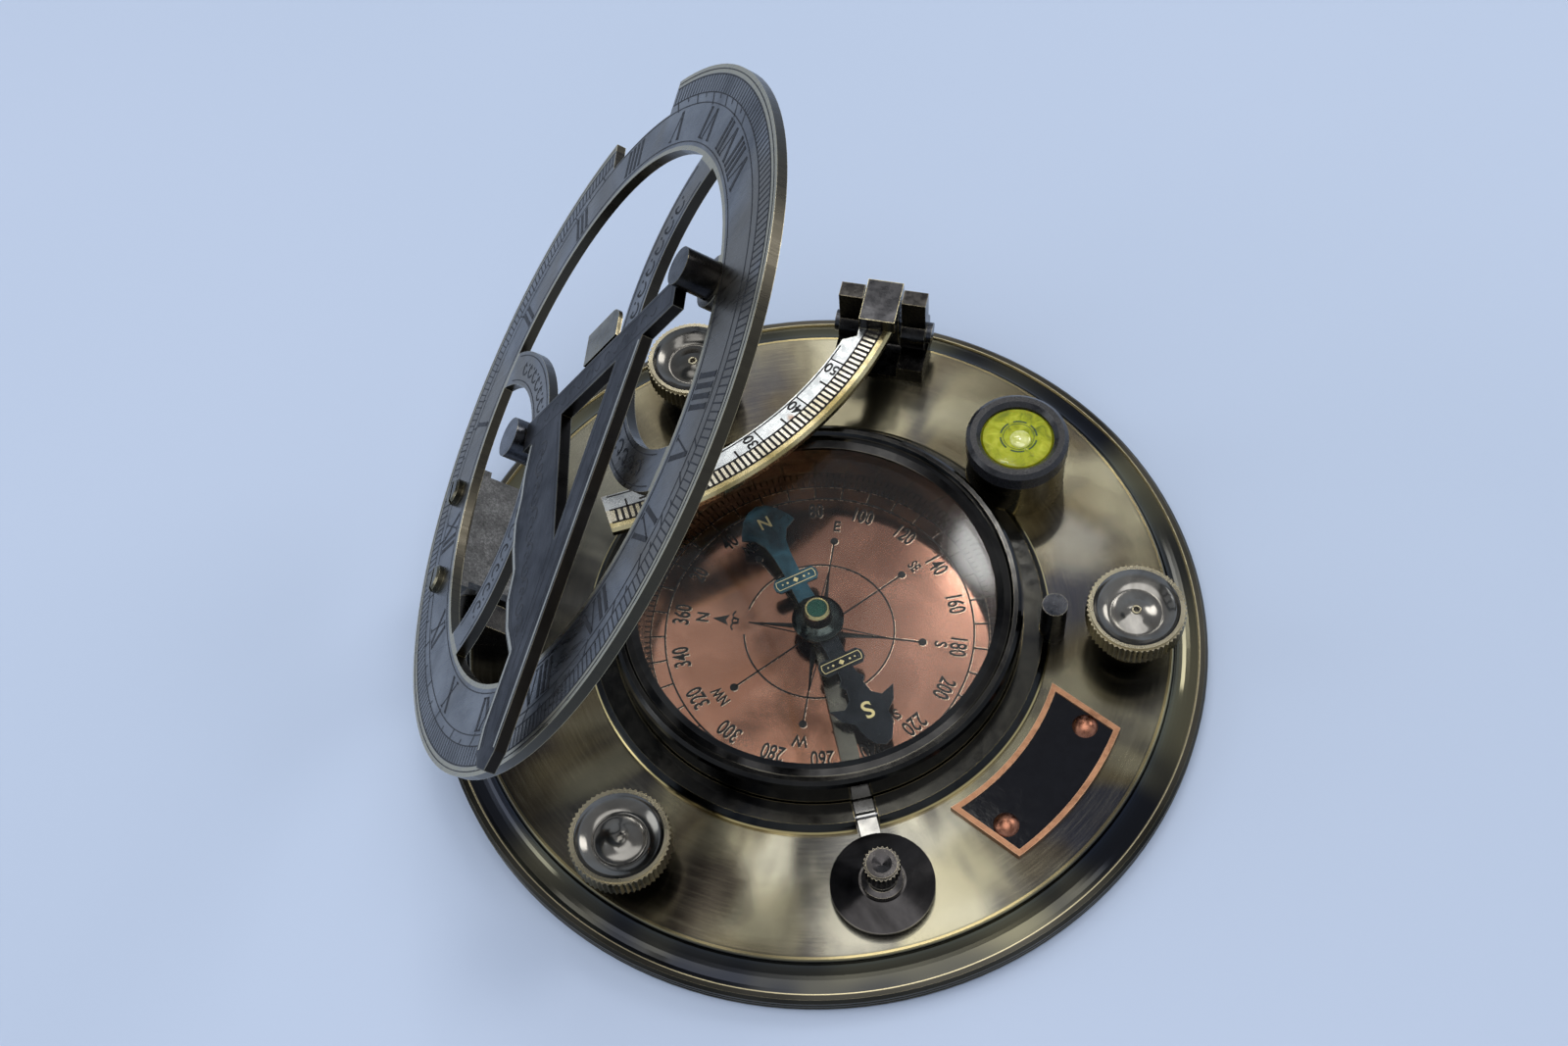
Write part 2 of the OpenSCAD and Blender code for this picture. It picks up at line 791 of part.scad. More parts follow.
// Hour ring: a flat ring with a notch and two curved cross arms
module hour_ring() {
    half = ring_t / 2;
    color([0.42, 0.43, 0.45])
        on_ring()
            difference() {
                union() {
                    difference() {
                        rod(ring_r, -half, half);
                        rod(ring_in_r, -1 - half, half + 1);
                    }
                    intersection() {
                        rod(ring_in_r + 0.5, -half, half);
                        for (s = [-1, 1])
                            translate([s * arm_centre, 0, 0])
                                tube(arm_out_r, arm_in_r, -half, half);
                    }
                    intersection() {
                        rod(ring_in_r + 0.5, -half, half);
                        translate([post_out_u, 0, 0])
                            rod(post_seat_r, -half, half);
                    }
                }
                difference() {
                    translate([0, 0, -1])
                        wedge(1.2 * ring_r, notch_from, notch_to, 2);
                    rod(notch_r, -2, 2);
                }
                for (s = [-1, 1])
                    translate([screw_u, s * screw_v, 0])
                        rod(screw_r + fit, -2, 2);
                translate([post_in_u, 0, 0])
                    rod(post_in_r - 1 + fit, -2, 2);
                translate([post_out_u, 0, 0])
                    rod(post_out_r + fit, -2, 2);
            }
}

// Hinge leaf: a flange under the ring, a web inside it and an arm out to the barrel
module ring_leaf() {
    under = -ring_t / 2;
    arm_half = 1.1;
    color([0.34, 0.33, 0.32])
        on_ring()
            difference() {
                union() {
                    box([screw_u - 4, -leaf_half, under - leaf_t], [web_u + web_t, leaf_half, under]);
                    box([web_u, -web_half, -ring_off - arm_half], [web_u + web_t, web_half, under]);
                    box([-hinge_r, -barrel_half, -ring_off - arm_half],
                        [web_u + web_t, barrel_half, -ring_off + arm_half]);
                    translate([-hinge_r, 0, -ring_off])
                        rod_y(barrel_r, barrel_half);
                }
                translate([-hinge_r, 0, -ring_off])
                    rod_y(hinge_pin_r + fit, barrel_half + 1);
                for (s = [-1, 1])
                    translate([screw_u, s * screw_v, 0])
                        rod(screw_r + fit, under - leaf_t - 1, under + 1);
            }
}

// Two slotted screws that hold the leaf to the ring
module ring_screws() {
    top = ring_t / 2;
    color([0.20, 0.19, 0.17])
        on_ring()
            for (s = [-1, 1])
                translate([screw_u, s * screw_v, 0])
                    difference() {
                        union() {
                            rod(screw_head_r, top, top + screw_head_h - 0.3);
                            translate([0, 0, top + screw_head_h - 0.3])
                                cylinder(r1 = screw_head_r, r2 = screw_head_r - 0.4, h = 0.3);
                            rod(screw_r, -top - leaf_t, top);
                        }
                        box([-0.3, -screw_head_r - 1, top + screw_head_h - 0.5],
                            [0.3, screw_head_r + 1, top + screw_head_h + 1]);
                    }
}

// Inner gnomon post: it stands on the middle of the inner arm
module gnomon_post_inner() {
    color([0.20, 0.20, 0.21])
        on_ring()
            translate([post_in_u, 0, 0])
                difference() {
                    union() {
                        rod(post_in_r, ring_t / 2, post_h);
                        rod(post_in_r - 1, -ring_t / 2, ring_t / 2);
                    }
                    translate([0, 0, gnomon_n])
                        rotate([0, 90, 0])
                            rod(gnomon_pivot_r + fit, post_in_r - pivot_len + gap, post_in_r + 1);
                }
}

// Outer gnomon post: it passes through the ring and lands on the rest pin
module gnomon_post_outer() {
    color([0.12, 0.12, 0.13])
        on_ring()
            translate([post_out_u, 0, 0])
                difference() {
                    union() {
                        rod(post_out_r, -post_drop, post_h);
                        translate([0, -post_out_r + 0.8, -2.4])
                            rotate([90, 0, 0])
                                cylinder(r = 1.2, h = 1.8);
                    }
                    translate([0, 0, gnomon_n])
                        rotate([0, -90, 0])
                            rod(gnomon_pivot_r + fit, post_out_r - pivot_len + gap, post_out_r + 1);
                }
}

// Catch: a thin leaf on the outer arm, level with the gnomon's heel
module gnomon_catch() {
    top = gnomon_n + gnomon_t / 2;
    near = strip_v + gap + 0.3;
    leg_u = arm_centre - arm_in_r - arm_w / 2;
    color([0.40, 0.38, 0.34])
        on_ring() {
            difference() {
                box([catch_u - catch_w / 2, near, top - catch_t], [catch_u + catch_w / 2, catch_len, top]);
                translate([catch_u + catch_w / 2 - 2.4, catch_len - 2.4, 0])
                    difference() {
                        box([0, 0, 0], [3, 3, top + 1]);
                        rod(2.4, -1, top + 2);
                    }
            }
            box([leg_u - 1.6, near, ring_t / 2], [leg_u + 1.6, near + 0.8, top - catch_t / 2]);
        }
}

// Gnomon plate in its own plane: u along the axis, v away from it
gnomon_outline = [[-6, strip_v - strip_w], [-6.3, -9], [-5.8, -13], [-6.2, -17], [-5, -21.5],
    [-3, -26], [-3.2, -30.5], [-1.4, -35.5], [1.6, -40], [-0.6, -44.5], [-2.8, -49],
    [-3.3, -52.2], [-2, -54.8], [0.6, -gnomon_len], [3, -54], [27.3, strip_v - strip_w]];
gnomon_window = [[3.8, strip_v - strip_w], [20, strip_v - strip_w], [9.8, -26.5]];

module gnomon_plate() {
    color([0.30, 0.31, 0.33])
        on_ring()
            translate([0, 0, gnomon_n]) {
                translate([0, 0, -gnomon_t / 2])
                    linear_extrude(height = gnomon_t)
                        difference() {
                            union() {
                                polygon(gnomon_outline);
                                translate([strip_u0, strip_v - strip_w])
                                    square([strip_u1 - strip_u0, strip_w]);
                            }
                            polygon(gnomon_window);
                        }
                translate([strip_u0, 0, 0])
                    rotate([0, -90, 0])
                        rod(gnomon_pivot_r, -1, pivot_len);
                translate([strip_u1, 0, 0])
                    rotate([0, 90, 0])
                        rod(gnomon_pivot_r, -1, pivot_len);
            }
}

// Bracket of the ring's hinge: a foot and two ears
module ring_bracket() {
    ear = [[bracket_out_x, base_h], [bracket_in_x, base_h], [bracket_in_x, base_h + bracket_foot],
        [-hinge_r + eye_r - 0.15, hinge_z + 1], [-hinge_r - eye_r + 0.2, hinge_z - 1]];
    color([0.13, 0.13, 0.13])
        difference() {
            union() {
                box([bracket_out_x, -ear_out, base_h], [bracket_in_x, ear_out, base_h + bracket_foot]);
                for (y0 = [-ear_out, ear_in])
                    translate([0, y0 + ear_w, 0])
                        rotate([90, 0, 0])
                            linear_extrude(height = ear_w)
                                union() {
                                    polygon(ear);
                                    translate([-hinge_r, hinge_z])
                                        circle(r = eye_r);
                                }
            }
            translate([-hinge_r, 0, hinge_z])
                rod_y(hinge_pin_r + fit, ear_out + 1);
        }
}

module ring_hinge_pin() {
    color([0.30, 0.29, 0.27])
        translate([-hinge_r, 0, hinge_z]) {
            rod_y(hinge_pin_r, ear_out);
            for (s = [-1, 1])
                translate([0, s * (ear_out + pin_head_h / 2), 0])
                    rod_y(pin_head_r, pin_head_h / 2);
        }
}

// Puts a shape drawn along the arc's hinge into place: X along the hinge, -Y inward
module at_arc_hinge() {
    at_polar(arc_hinge_r, arc_az)
        rotate([0, 0, -90])
            children();
}

module arc_bracket() {
    ear0 = knuckle_half + gap;
    color([0.09, 0.09, 0.10])
        at_arc_hinge()
            difference() {
                union() {
                    box([-arc_foot_half, -arc_foot_front, base_h],
                        [arc_foot_half, arc_ear_back, base_h + arc_foot_h]);
                    for (s = [-1, 1])
                        translate([s * (ear0 + arc_ear_half) / 2, 0, 0])
                            box([-(arc_ear_half - ear0) / 2, -arc_ear_front, base_h],
                                [(arc_ear_half - ear0) / 2, arc_ear_back, arc_ear_top]);
                    for (s = [-1, 1])
                        translate([s * (ear0 + arc_ear_half) / 2, 0, arc_hinge_z])
                            rotate([0, 90, 0])
                                rod(eye_r, -(arc_ear_half - ear0) / 2, (arc_ear_half - ear0) / 2);
                }
                translate([0, 0, arc_hinge_z])
                    rotate([0, 90, 0])
                        rod(hinge_pin_r + fit, -arc_foot_half - 1, arc_foot_half + 1);
                box([-ear0, -arc_foot_front - 1, base_h + 0.8], [ear0, arc_ear_back + 1, base_h + arc_foot_h + 1]);
            }
}

module arc_hinge_pin() {
    color([0.16, 0.16, 0.17])
        at_arc_hinge()
            translate([0, 0, arc_hinge_z])
                rotate([0, 90, 0]) {
                    rod(hinge_pin_r, -arc_ear_half, arc_ear_half);
                    rod(pin_head_r, arc_ear_half, arc_ear_half + pin_head_h);
                    rod(pin_head_r, -arc_ear_half - pin_head_h, -arc_ear_half);
                }
}

// Corner taken off the arc beside its knuckle, so that it rises between the bracket's ears
module arc_corner() {
    side = 6;
    translate([0, 0, arc_top - arc_t - 1])
        linear_extrude(height = arc_t + 2)
            polygon([[-knuckle_half, 0], [-knuckle_half, -arc_clear],
                [-knuckle_half - side, -arc_clear - side / 2], [-knuckle_half - side, 0]]);
}

// Latitude arc: a flat band with a rounded edge, drawn lying flat
module latitude_arc() {
    in_r = arc_r - arc_w;
    top_edge = 0.5;
    tip_out = [arc_r * cos(arc_end_out), -arc_r * sin(arc_end_out)];
    tip_in = [in_r * cos(arc_end_in), -in_r * sin(arc_end_in)];
    across = tip_out - tip_in;
    beyond = [2 * arc_r, 0];
    color([0.62, 0.62, 0.60])
        difference() {
            translate([arc_x, arc_y, arc_top - arc_t])
                intersection() {
                    rotate_extrude()
                        polygon([[in_r, 0], [arc_r, 0], [arc_r, arc_t - top_edge],
                            [arc_r - top_edge, arc_t], [in_r, arc_t]]);
                    translate([0, 0, -1])
                        linear_extrude(height = arc_t + 2)
                            polygon([tip_in - across, tip_out + across, tip_out + across + beyond,
                                beyond, tip_in - across + [0, arc_r]]);
                }
            at_arc_hinge() {
                box([-arc_r, -barrel_r, 0], [arc_r, arc_r, arc_top + 1]);
                arc_corner();
            }
        }
}

// Knuckle of the arc: a block on the pin with a plate over the arc's end
module arc_knuckle() {
    color([0.24, 0.23, 0.20])
        at_arc_hinge()
            difference() {
                union() {
                    box([-knuckle_half, -knuckle_in, arc_top], [knuckle_half, knuckle_out, knuckle_top]);
                    box([-knuckle_half, -barrel_r, arc_hinge_z], [knuckle_half, knuckle_out, arc_top]);
                    translate([0, 0, arc_hinge_z])
                        rotate([0, 90, 0])
                            rod(barrel_r, -knuckle_half, knuckle_half);
                }
                translate([0, 0, arc_hinge_z])
                    rotate([0, 90, 0])
                        rod(hinge_pin_r + fit, -knuckle_half - 1, knuckle_half + 1);
            }
}

base_plate();
collar_ring();
compass_bowl();
bowl_nut();
compass_dial();
bezel();
glass();
pivot_pin();
lever_pin();
lifter_bush();
levelling_bushes();
bubble_holder();
bubble_vial();
bubble_cap();
rest_pin();
nameplate();
nameplate_rivets();
ring_bracket();
ring_hinge_pin();
arc_bracket();
arc_hinge_pin();
needle_blade();
needle_cap();
lift_washer();
lifter_lever();
lifter_disc();
lifter_knob();
levelling_screw_1();
levelling_screw_2();
levelling_screw_3();
levelling_foot_1();
levelling_foot_2();
levelling_foot_3();
hour_ring();
ring_leaf();
ring_screws();
gnomon_post_inner();
gnomon_post_outer();
gnomon_catch();
gnomon_plate();
latitude_arc();
arc_knuckle();
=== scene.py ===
import math
import bpy
from mathutils import Matrix, Vector


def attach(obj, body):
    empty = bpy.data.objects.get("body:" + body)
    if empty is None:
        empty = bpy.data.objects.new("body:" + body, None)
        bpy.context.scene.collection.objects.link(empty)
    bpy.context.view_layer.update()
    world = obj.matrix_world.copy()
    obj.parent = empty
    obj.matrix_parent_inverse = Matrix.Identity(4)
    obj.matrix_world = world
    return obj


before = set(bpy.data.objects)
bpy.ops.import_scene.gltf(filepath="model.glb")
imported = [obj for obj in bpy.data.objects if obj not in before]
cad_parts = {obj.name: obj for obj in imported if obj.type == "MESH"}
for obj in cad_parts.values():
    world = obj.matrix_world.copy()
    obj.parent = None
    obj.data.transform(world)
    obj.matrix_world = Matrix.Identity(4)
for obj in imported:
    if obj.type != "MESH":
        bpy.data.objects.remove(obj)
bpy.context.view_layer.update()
MM = 0.001
D = math.pi / 180

# The hour ring's plane: u along its fall line, v along Y, n out of its face
TILT = 54.4 * D
RING_HINGE = Vector((-56, 0, 11.3))
U = Vector((math.cos(TILT), 0, math.sin(TILT)))
V = Vector((0, 1, 0))
N = Vector((-math.sin(TILT), 0, math.cos(TILT)))
RING_C = RING_HINGE + 56 * U + 9.4 * N

# Places and sizes on the CAD part in mm, repeated from its source
RING_FACE = 0.75
GNOMON_N = 3.4
GNOMON_HALF_T = 0.8
ARC_C = Vector((-56.8, 72.4, 0))
ARC_TOP = 18.5
SCREW_R = 50.85
SCREWS = [Vector((SCREW_R * math.cos(a * D), SCREW_R * math.sin(a * D), 0)) for a in (0, 120, 240)]
LIFTER = Vector((47.4 * math.cos(-72.8 * D), 47.4 * math.sin(-72.8 * D), 0))
BUBBLE = Vector((31, 30, 0))
VIAL_TOP = 17.1
PLATE_AZ = -33.6 * D
DIAL_TOP = 1.7
DIAL_TURN = -3.5
BLADE_TOP = 5.5
NEEDLE_AZ = 121 * D
LAND_R = 57.4


# Camera, set from the photograph
def add_camera():
    az, el, roll = 11.48 * D, 58.58 * D, -6.72 * D
    back = Vector((math.sin(az) * math.cos(el), -math.cos(az) * math.cos(el), math.sin(el)))
    right = (-back).cross(Vector((0, 0, 1))).normalized()
    up = right.cross(-back)
    x = right * math.cos(roll) + up * math.sin(roll)
    y = up * math.cos(roll) - right * math.sin(roll)
    focal_px, photo_width_px, sensor_mm = 1950.2, 1600, 36
    data = bpy.data.cameras.new("photo_camera")
    data.sensor_width = sensor_mm
    data.lens = focal_px / photo_width_px * sensor_mm
    data.clip_start = 0.01
    data.clip_end = 20
    cam = bpy.data.objects.new("photo_camera", data)
    bpy.context.scene.collection.objects.link(cam)
    turn = Matrix((x, y, back)).transposed().to_4x4()
    eye = Vector((26.22, -147.66, 282.41)) * MM
    cam.matrix_world = Matrix.Translation(eye) @ turn
    bpy.context.scene.camera = cam


add_camera()


class Kit:
    """One material and short calls for its nodes; textures run in millimetres of the object's own frame."""
    def __init__(self, name, metallic=1.0, rough=0.4):
        self.mat = bpy.data.materials.new(name)
        self.mat.use_nodes = True
        self.tree = self.mat.node_tree
        self.tree.nodes.clear()
        self.out = self.tree.nodes.new("ShaderNodeOutputMaterial")
        self.bsdf = self.tree.nodes.new("ShaderNodeBsdfPrincipled")
        self.tree.links.new(self.bsdf.outputs[0], self.out.inputs[0])
        self.bsdf.inputs["Metallic"].default_value = metallic
        self.bsdf.inputs["Roughness"].default_value = rough
        self.in_mm = None

    def put(self, sock, val):
        if isinstance(val, bpy.types.NodeSocket):
            self.tree.links.new(val, sock)
        elif isinstance(val, (tuple, list)) and sock.type == "RGBA" and len(val) == 3:
            sock.default_value = (*val, 1)
        else:
            sock.default_value = val

    def set(self, name, val):
        self.put(self.bsdf.inputs[name], val)

    def node(self, kind, *ins, out=0, **props):
        n = self.tree.nodes.new("ShaderNode" + kind)
        for k, v in props.items():
            setattr(n, k, v)
        for i, v in enumerate(ins):
            if v is not None:
                self.put(n.inputs[i], v)
        return n.outputs[out]

    def mm(self):
        if self.in_mm is None:
            tc = self.tree.nodes.new("ShaderNodeTexCoord")
            n = self.tree.nodes.new("ShaderNodeVectorMath")
            n.operation = "SCALE"
            self.tree.links.new(tc.outputs["Object"], n.inputs[0])
            n.inputs["Scale"].default_value = 1000
            self.in_mm = n.outputs[0]
        return self.in_mm

    def math(self, op, a, b=None):
        return self.node("Math", a, b, operation=op)

    def mul(self, a, b):
        return self.node("Math", a, b, operation="MULTIPLY")

    def add(self, a, b):
        return self.node("Math", a, b, operation="ADD")

    def sub(self, vec, c):
        return self.node("VectorMath", vec, tuple(c), operation="SUBTRACT")

    def dot(self, vec, c):
        n = self.tree.nodes.new("ShaderNodeVectorMath")
        n.operation = "DOT_PRODUCT"
        self.put(n.inputs[0], vec)
        self.put(n.inputs[1], tuple(c))
        return n.outputs["Value"]

    def blend(self, share, first, second):
        """Send a mix of two shaders to the material's output."""
        mix = self.tree.nodes.new("ShaderNodeMixShader")
        for i, sock in enumerate((share, first, second)):
            self.tree.links.new(sock, mix.inputs[i])
        self.tree.links.new(mix.outputs[0], self.out.inputs[0])

    def xyz(self, vec):
        n = self.tree.nodes.new("ShaderNodeSeparateXYZ")
        self.put(n.inputs[0], vec)
        return n.outputs[0], n.outputs[1], n.outputs[2]

    def join(self, x, y, z):
        return self.node("CombineXYZ", x, y, z)

    def radius(self, x, y):
        return self.math("SQRT", self.add(self.mul(x, x), self.mul(y, y)))

    def noise(self, vec, scale, detail, rough=0.55, distort=0.0):
        n = self.tree.nodes.new("ShaderNodeTexNoise")
        self.put(n.inputs["Vector"], vec)
        n.inputs["Scale"].default_value = scale
        n.inputs["Detail"].default_value = detail
        n.inputs["Roughness"].default_value = rough
        n.inputs["Distortion"].default_value = distort
        return n.outputs[0]

    def ramp(self, fac, stops):
        n = self.tree.nodes.new("ShaderNodeValToRGB")
        els = n.color_ramp.elements
        while len(els) < len(stops):
            els.new(0.5)
        for e, (pos, col) in zip(els, stops):
            e.position = pos
            e.color = (*col, 1)
        self.put(n.inputs[0], fac)
        return n.outputs[0]

    def step(self, v, lo, hi, a=0.0, b=1.0):
        """A smooth rise from a to b while v goes from lo to hi."""
        n = self.tree.nodes.new("ShaderNodeMapRange")
        n.interpolation_type = "SMOOTHSTEP"
        for i, x in enumerate((v, lo, hi, a, b)):
            self.put(n.inputs[i], x)
        return n.outputs[0]

    def band(self, v, lo, hi, soft):
        """1 while v is between lo and hi, with soft ends outside them."""
        return self.mul(self.step(v, lo - soft, lo), self.step(v, hi, hi + soft, 1.0, 0.0))

    def mix(self, fac, a, b):
        """A mix of two colours; the node keeps its colour sockets at 6, 7 and 2."""
        n = self.tree.nodes.new("ShaderNodeMix")
        n.data_type = "RGBA"
        self.put(n.inputs[0], fac)
        self.put(n.inputs[6], a)
        self.put(n.inputs[7], b)
        return n.outputs[2]

    def edge(self, r_mm, lo=0.02, hi=0.22):
        """1 along sharp edges, 0 elsewhere: how far a bevelled normal turns from the true one."""
        n = self.tree.nodes.new("ShaderNodeBevel")
        n.samples = 6
        n.inputs["Radius"].default_value = r_mm * MM
        g = self.tree.nodes.new("ShaderNodeNewGeometry")
        d = self.tree.nodes.new("ShaderNodeVectorMath")
        d.operation = "DOT_PRODUCT"
        self.tree.links.new(n.outputs[0], d.inputs[0])
        self.tree.links.new(g.outputs["Normal"], d.inputs[1])
        return self.step(self.math("SUBTRACT", 1.0, d.outputs["Value"]), lo, hi)

    def bump(self, h, strength, dist):
        n = self.tree.nodes.new("ShaderNodeBump")
        n.inputs["Strength"].default_value = strength
        n.inputs["Distance"].default_value = dist * MM
        self.put(n.inputs["Height"], h)
        self.put(self.bsdf.inputs["Normal"], n.outputs[0])


GOLD = (0.62, 0.50, 0.24)
PALE_GOLD = (0.72, 0.63, 0.40)


def antique(name, dark, mid, worn, rough, scale, edge_mm=0.3, wear=0.9):
    """Darkened brass with cloudy colour, fine scratches and pale rubbed edges."""
    k = Kit(name)
    p = k.mm()
    cloud = k.noise(p, scale, 5, 0.6, 0.6)
    grain = k.noise(p, 3.0, 3, 0.7)
    col = k.ramp(cloud, [(0.32, dark), (0.62, mid)])
    wear_and_sheen = k.mul(k.edge(edge_mm), k.step(grain, 0.25, 0.6, wear * 0.55, wear))
    k.set("Base Color", k.mix(wear_and_sheen, col, worn))
    k.set("Roughness", k.step(k.noise(p, scale * 5, 4, 0.7), 0.3, 0.7, rough[0], rough[1]))
    k.bump(grain, 0.15, 0.02)
    return k.mat


def lathe_lines(k, r, count):
    """Fine turned lines round an axis: noise along the radius only."""
    return k.noise(k.join(k.mul(r, count), 0.0, 0.0), 1.0, 6, 0.75)


# Painted reflections on the base's top, placed where the photograph shows them: dark patches of painted shade
# and bright patches of painted highlight. Centre and reach in mm, share, and whether the patch is bright
PATCHES = [
    ((-13.0, -47.0), 8.0, 0.95, False),
    ((9.0, -51.0), 7.0, 0.5, True),
    ((42.5, 16.5), 6.5, 0.4, True),
    ((53.0, -9.5), 5.0, 0.7, False),
    ((-10.5, 49.0), 7.0, 0.55, False),
]


def base_material():
    k = Kit("antique_base")
    p = k.mm()
    x, y, _ = k.xyz(p)
    r = k.radius(x, y)
    a = k.math("ARCTAN2", y, x)
    cloud = k.noise(k.join(x, y, 0.0), 0.022, 2, 0.5, 0.7)
    # Painted shade in fans that run outward, standing for the turned metal's reflection fans: noise over the
    # direction, with no seam
    outward = k.join(k.math("DIVIDE", x, r), k.math("DIVIDE", y, r), k.mul(r, 0.008))
    shade_fans = k.noise(outward, 2.6, 3, 0.55)
    brush = k.noise(k.join(k.mul(a, 5.0), k.mul(r, 2.6), 0.0), 1.0, 8, 0.8)
    tone = k.noise(k.join(x, y, 9.0), 0.05, 2, 0.5)
    shade = k.mix(k.step(tone, 0.42, 0.58), (0.042, 0.034, 0.028), (0.034, 0.036, 0.048))
    top = k.mix(k.step(cloud, 0.36, 0.44), shade, (0.115, 0.096, 0.058))
    top = k.mix(k.step(cloud, 0.43, 0.53), top, (0.27, 0.25, 0.17))
    top = k.mix(k.step(cloud, 0.53, 0.66), top, (0.40, 0.385, 0.31))
    # Painted shade: the fans darken the top towards the shade colour
    top = k.mix(k.step(shade_fans, 0.45, 0.60, 0.0, 0.8), top, shade)
    frayed = k.mul(k.noise(k.join(x, y, 3.0), 0.14, 3, 0.6), 6.0)
    # Each patch mixes in painted shade, and where the patch is bright a painted highlight colour
    for (px, py), reach, share, wear_and_sheen in PATCHES:
        away = k.radius(k.math("SUBTRACT", x, px), k.math("SUBTRACT", y, py))
        near = k.step(k.add(away, frayed), reach * 0.5 + 2.0, reach + 5.0, share, 0.0)
        top = k.mix(near, top, (0.42, 0.40, 0.32) if wear_and_sheen else shade)
    top = k.mix(k.mul(k.step(brush, 0.4, 0.75), 0.16), top, (0.52, 0.48, 0.35))
    dark = k.mix(k.step(cloud, 0.38, 0.62), (0.020, 0.022, 0.028), (0.155, 0.145, 0.095))
    edge = k.mix(k.step(cloud, 0.3, 0.6), (0.020, 0.019, 0.016), (0.070, 0.066, 0.055))
    inner = k.band(r, 30.0, 57.2, 0.25)
    col = k.mix(k.step(r, 56.7, 57.3), top, dark)
    # Painted highlights: thin gold lines along the land's edge and along the rim's top edge stand for light
    # on these rounded edges
    lit_lip = k.band(r, LAND_R - 0.2, LAND_R + 0.2, 0.15)
    col = k.mix(k.mul(lit_lip, k.step(cloud, 0.4, 0.6, 0.2, 0.65)), col, GOLD)
    rim = k.step(r, 62.0, 62.15)
    col = k.mix(rim, col, edge)
    col = k.mix(k.mul(k.band(r, 61.98, 62.16, 0.1), 0.6), col, PALE_GOLD)
    col = k.mix(k.mul(k.edge(0.2), 0.4), col, PALE_GOLD)
    k.set("Base Color", col)
    rough = k.step(brush, 0.2, 0.8, 0.17, 0.25)
    rough = k.mix(k.step(r, 57.4, 57.8), rough, (0.11, 0.11, 0.11))
    rough = k.mix(rim, rough, (0.30, 0.30, 0.30))
    k.set("Roughness", rough)
    k.bsdf.inputs["Anisotropic"].default_value = 0.85
    k.bsdf.inputs["Anisotropic Rotation"].default_value = 0.25
    t = k.tree.nodes.new("ShaderNodeTangent")
    t.direction_type = "RADIAL"
    t.axis = "Z"
    k.tree.links.new(t.outputs[0], k.bsdf.inputs["Tangent"])
    fine = k.noise(k.join(k.mul(a, 9.0), k.mul(r, 9.0), 0.0), 1.0, 5, 0.8)
    k.bump(k.mul(fine, inner), 0.10, 0.02)
    return k.mat


def turned(name, dark, mid, gold_bands=(), rough=(0.12, 0.24), centre=(0, 0), edge_mm=0.22, wear=0.8,
           gold=GOLD, lines=2.2, bump=0.10):
    """Metal turned on a lathe: fine rings, cloudy dark colour, gold where an edge is rubbed."""
    k = Kit(name)
    p = k.sub(k.mm(), (centre[0], centre[1], 0))
    x, y, z = k.xyz(p)
    r = k.radius(x, y)
    cloud = k.noise(p, 0.07, 4, 0.6, 0.8)
    ring = lathe_lines(k, k.add(r, k.mul(z, 0.6)), lines)
    col = k.ramp(cloud, [(0.3, dark), (0.66, mid)])
    col = k.mix(k.step(ring, 0.5, 0.8, 0.0, 0.4), col, mid)
    for lo, hi in gold_bands:
        col = k.mix(k.mul(k.band(r, lo, hi, 0.12), 0.85), col, gold)
    if edge_mm:
        col = k.mix(k.mul(k.edge(edge_mm), k.step(ring, 0.2, 0.6, wear * 0.6, wear)), col, gold)
    k.set("Base Color", col)
    k.set("Roughness", k.step(k.noise(p, 0.5, 4, 0.7), 0.3, 0.7, rough[0], rough[1]))
    k.bump(ring, bump, 0.03)
    return k.mat


def copper_dial():
    k = Kit("copper_dial")
    p = k.mm()
    x, y, _ = k.xyz(p)
    r = k.radius(x, y)
    cloud = k.noise(p, 0.09, 4, 0.6, 0.7)
    col = k.ramp(cloud, [(0.25, (0.58, 0.27, 0.170)), (0.55, (0.76, 0.37, 0.25)), (0.8, (0.84, 0.48, 0.35))])
    # Painted light and shade: the copper is painted brighter towards the front left and darker across the
    # middle and the right, to match how its reflections fall
    lit_share = k.step(k.dot(p, (-0.80, -0.60, 0.0)), -6.0, 17.0, 0.0, 1.0)
    shaded_copper = k.mix(cloud, (0.27, 0.125, 0.085), (0.42, 0.215, 0.155))
    col = k.mix(lit_share, shaded_copper, col)
    col = k.mix(k.step(r, 27.6, 29.2, 0.0, 0.6), col, (0.16, 0.09, 0.07))
    fine = k.noise(k.join(k.mul(x, 0.25), k.mul(y, 2.2), 0.0), 3.0, 6, 0.8)
    k.set("Base Color", k.mix(k.step(fine, 0.55, 0.85, 0.0, 0.04), col, (0.80, 0.50, 0.38)))
    k.set("Roughness", k.step(cloud, 0.3, 0.7, 0.09, 0.16))
    k.bump(k.noise(p, 0.10, 1), 0.03, 0.12)
    return k.mat


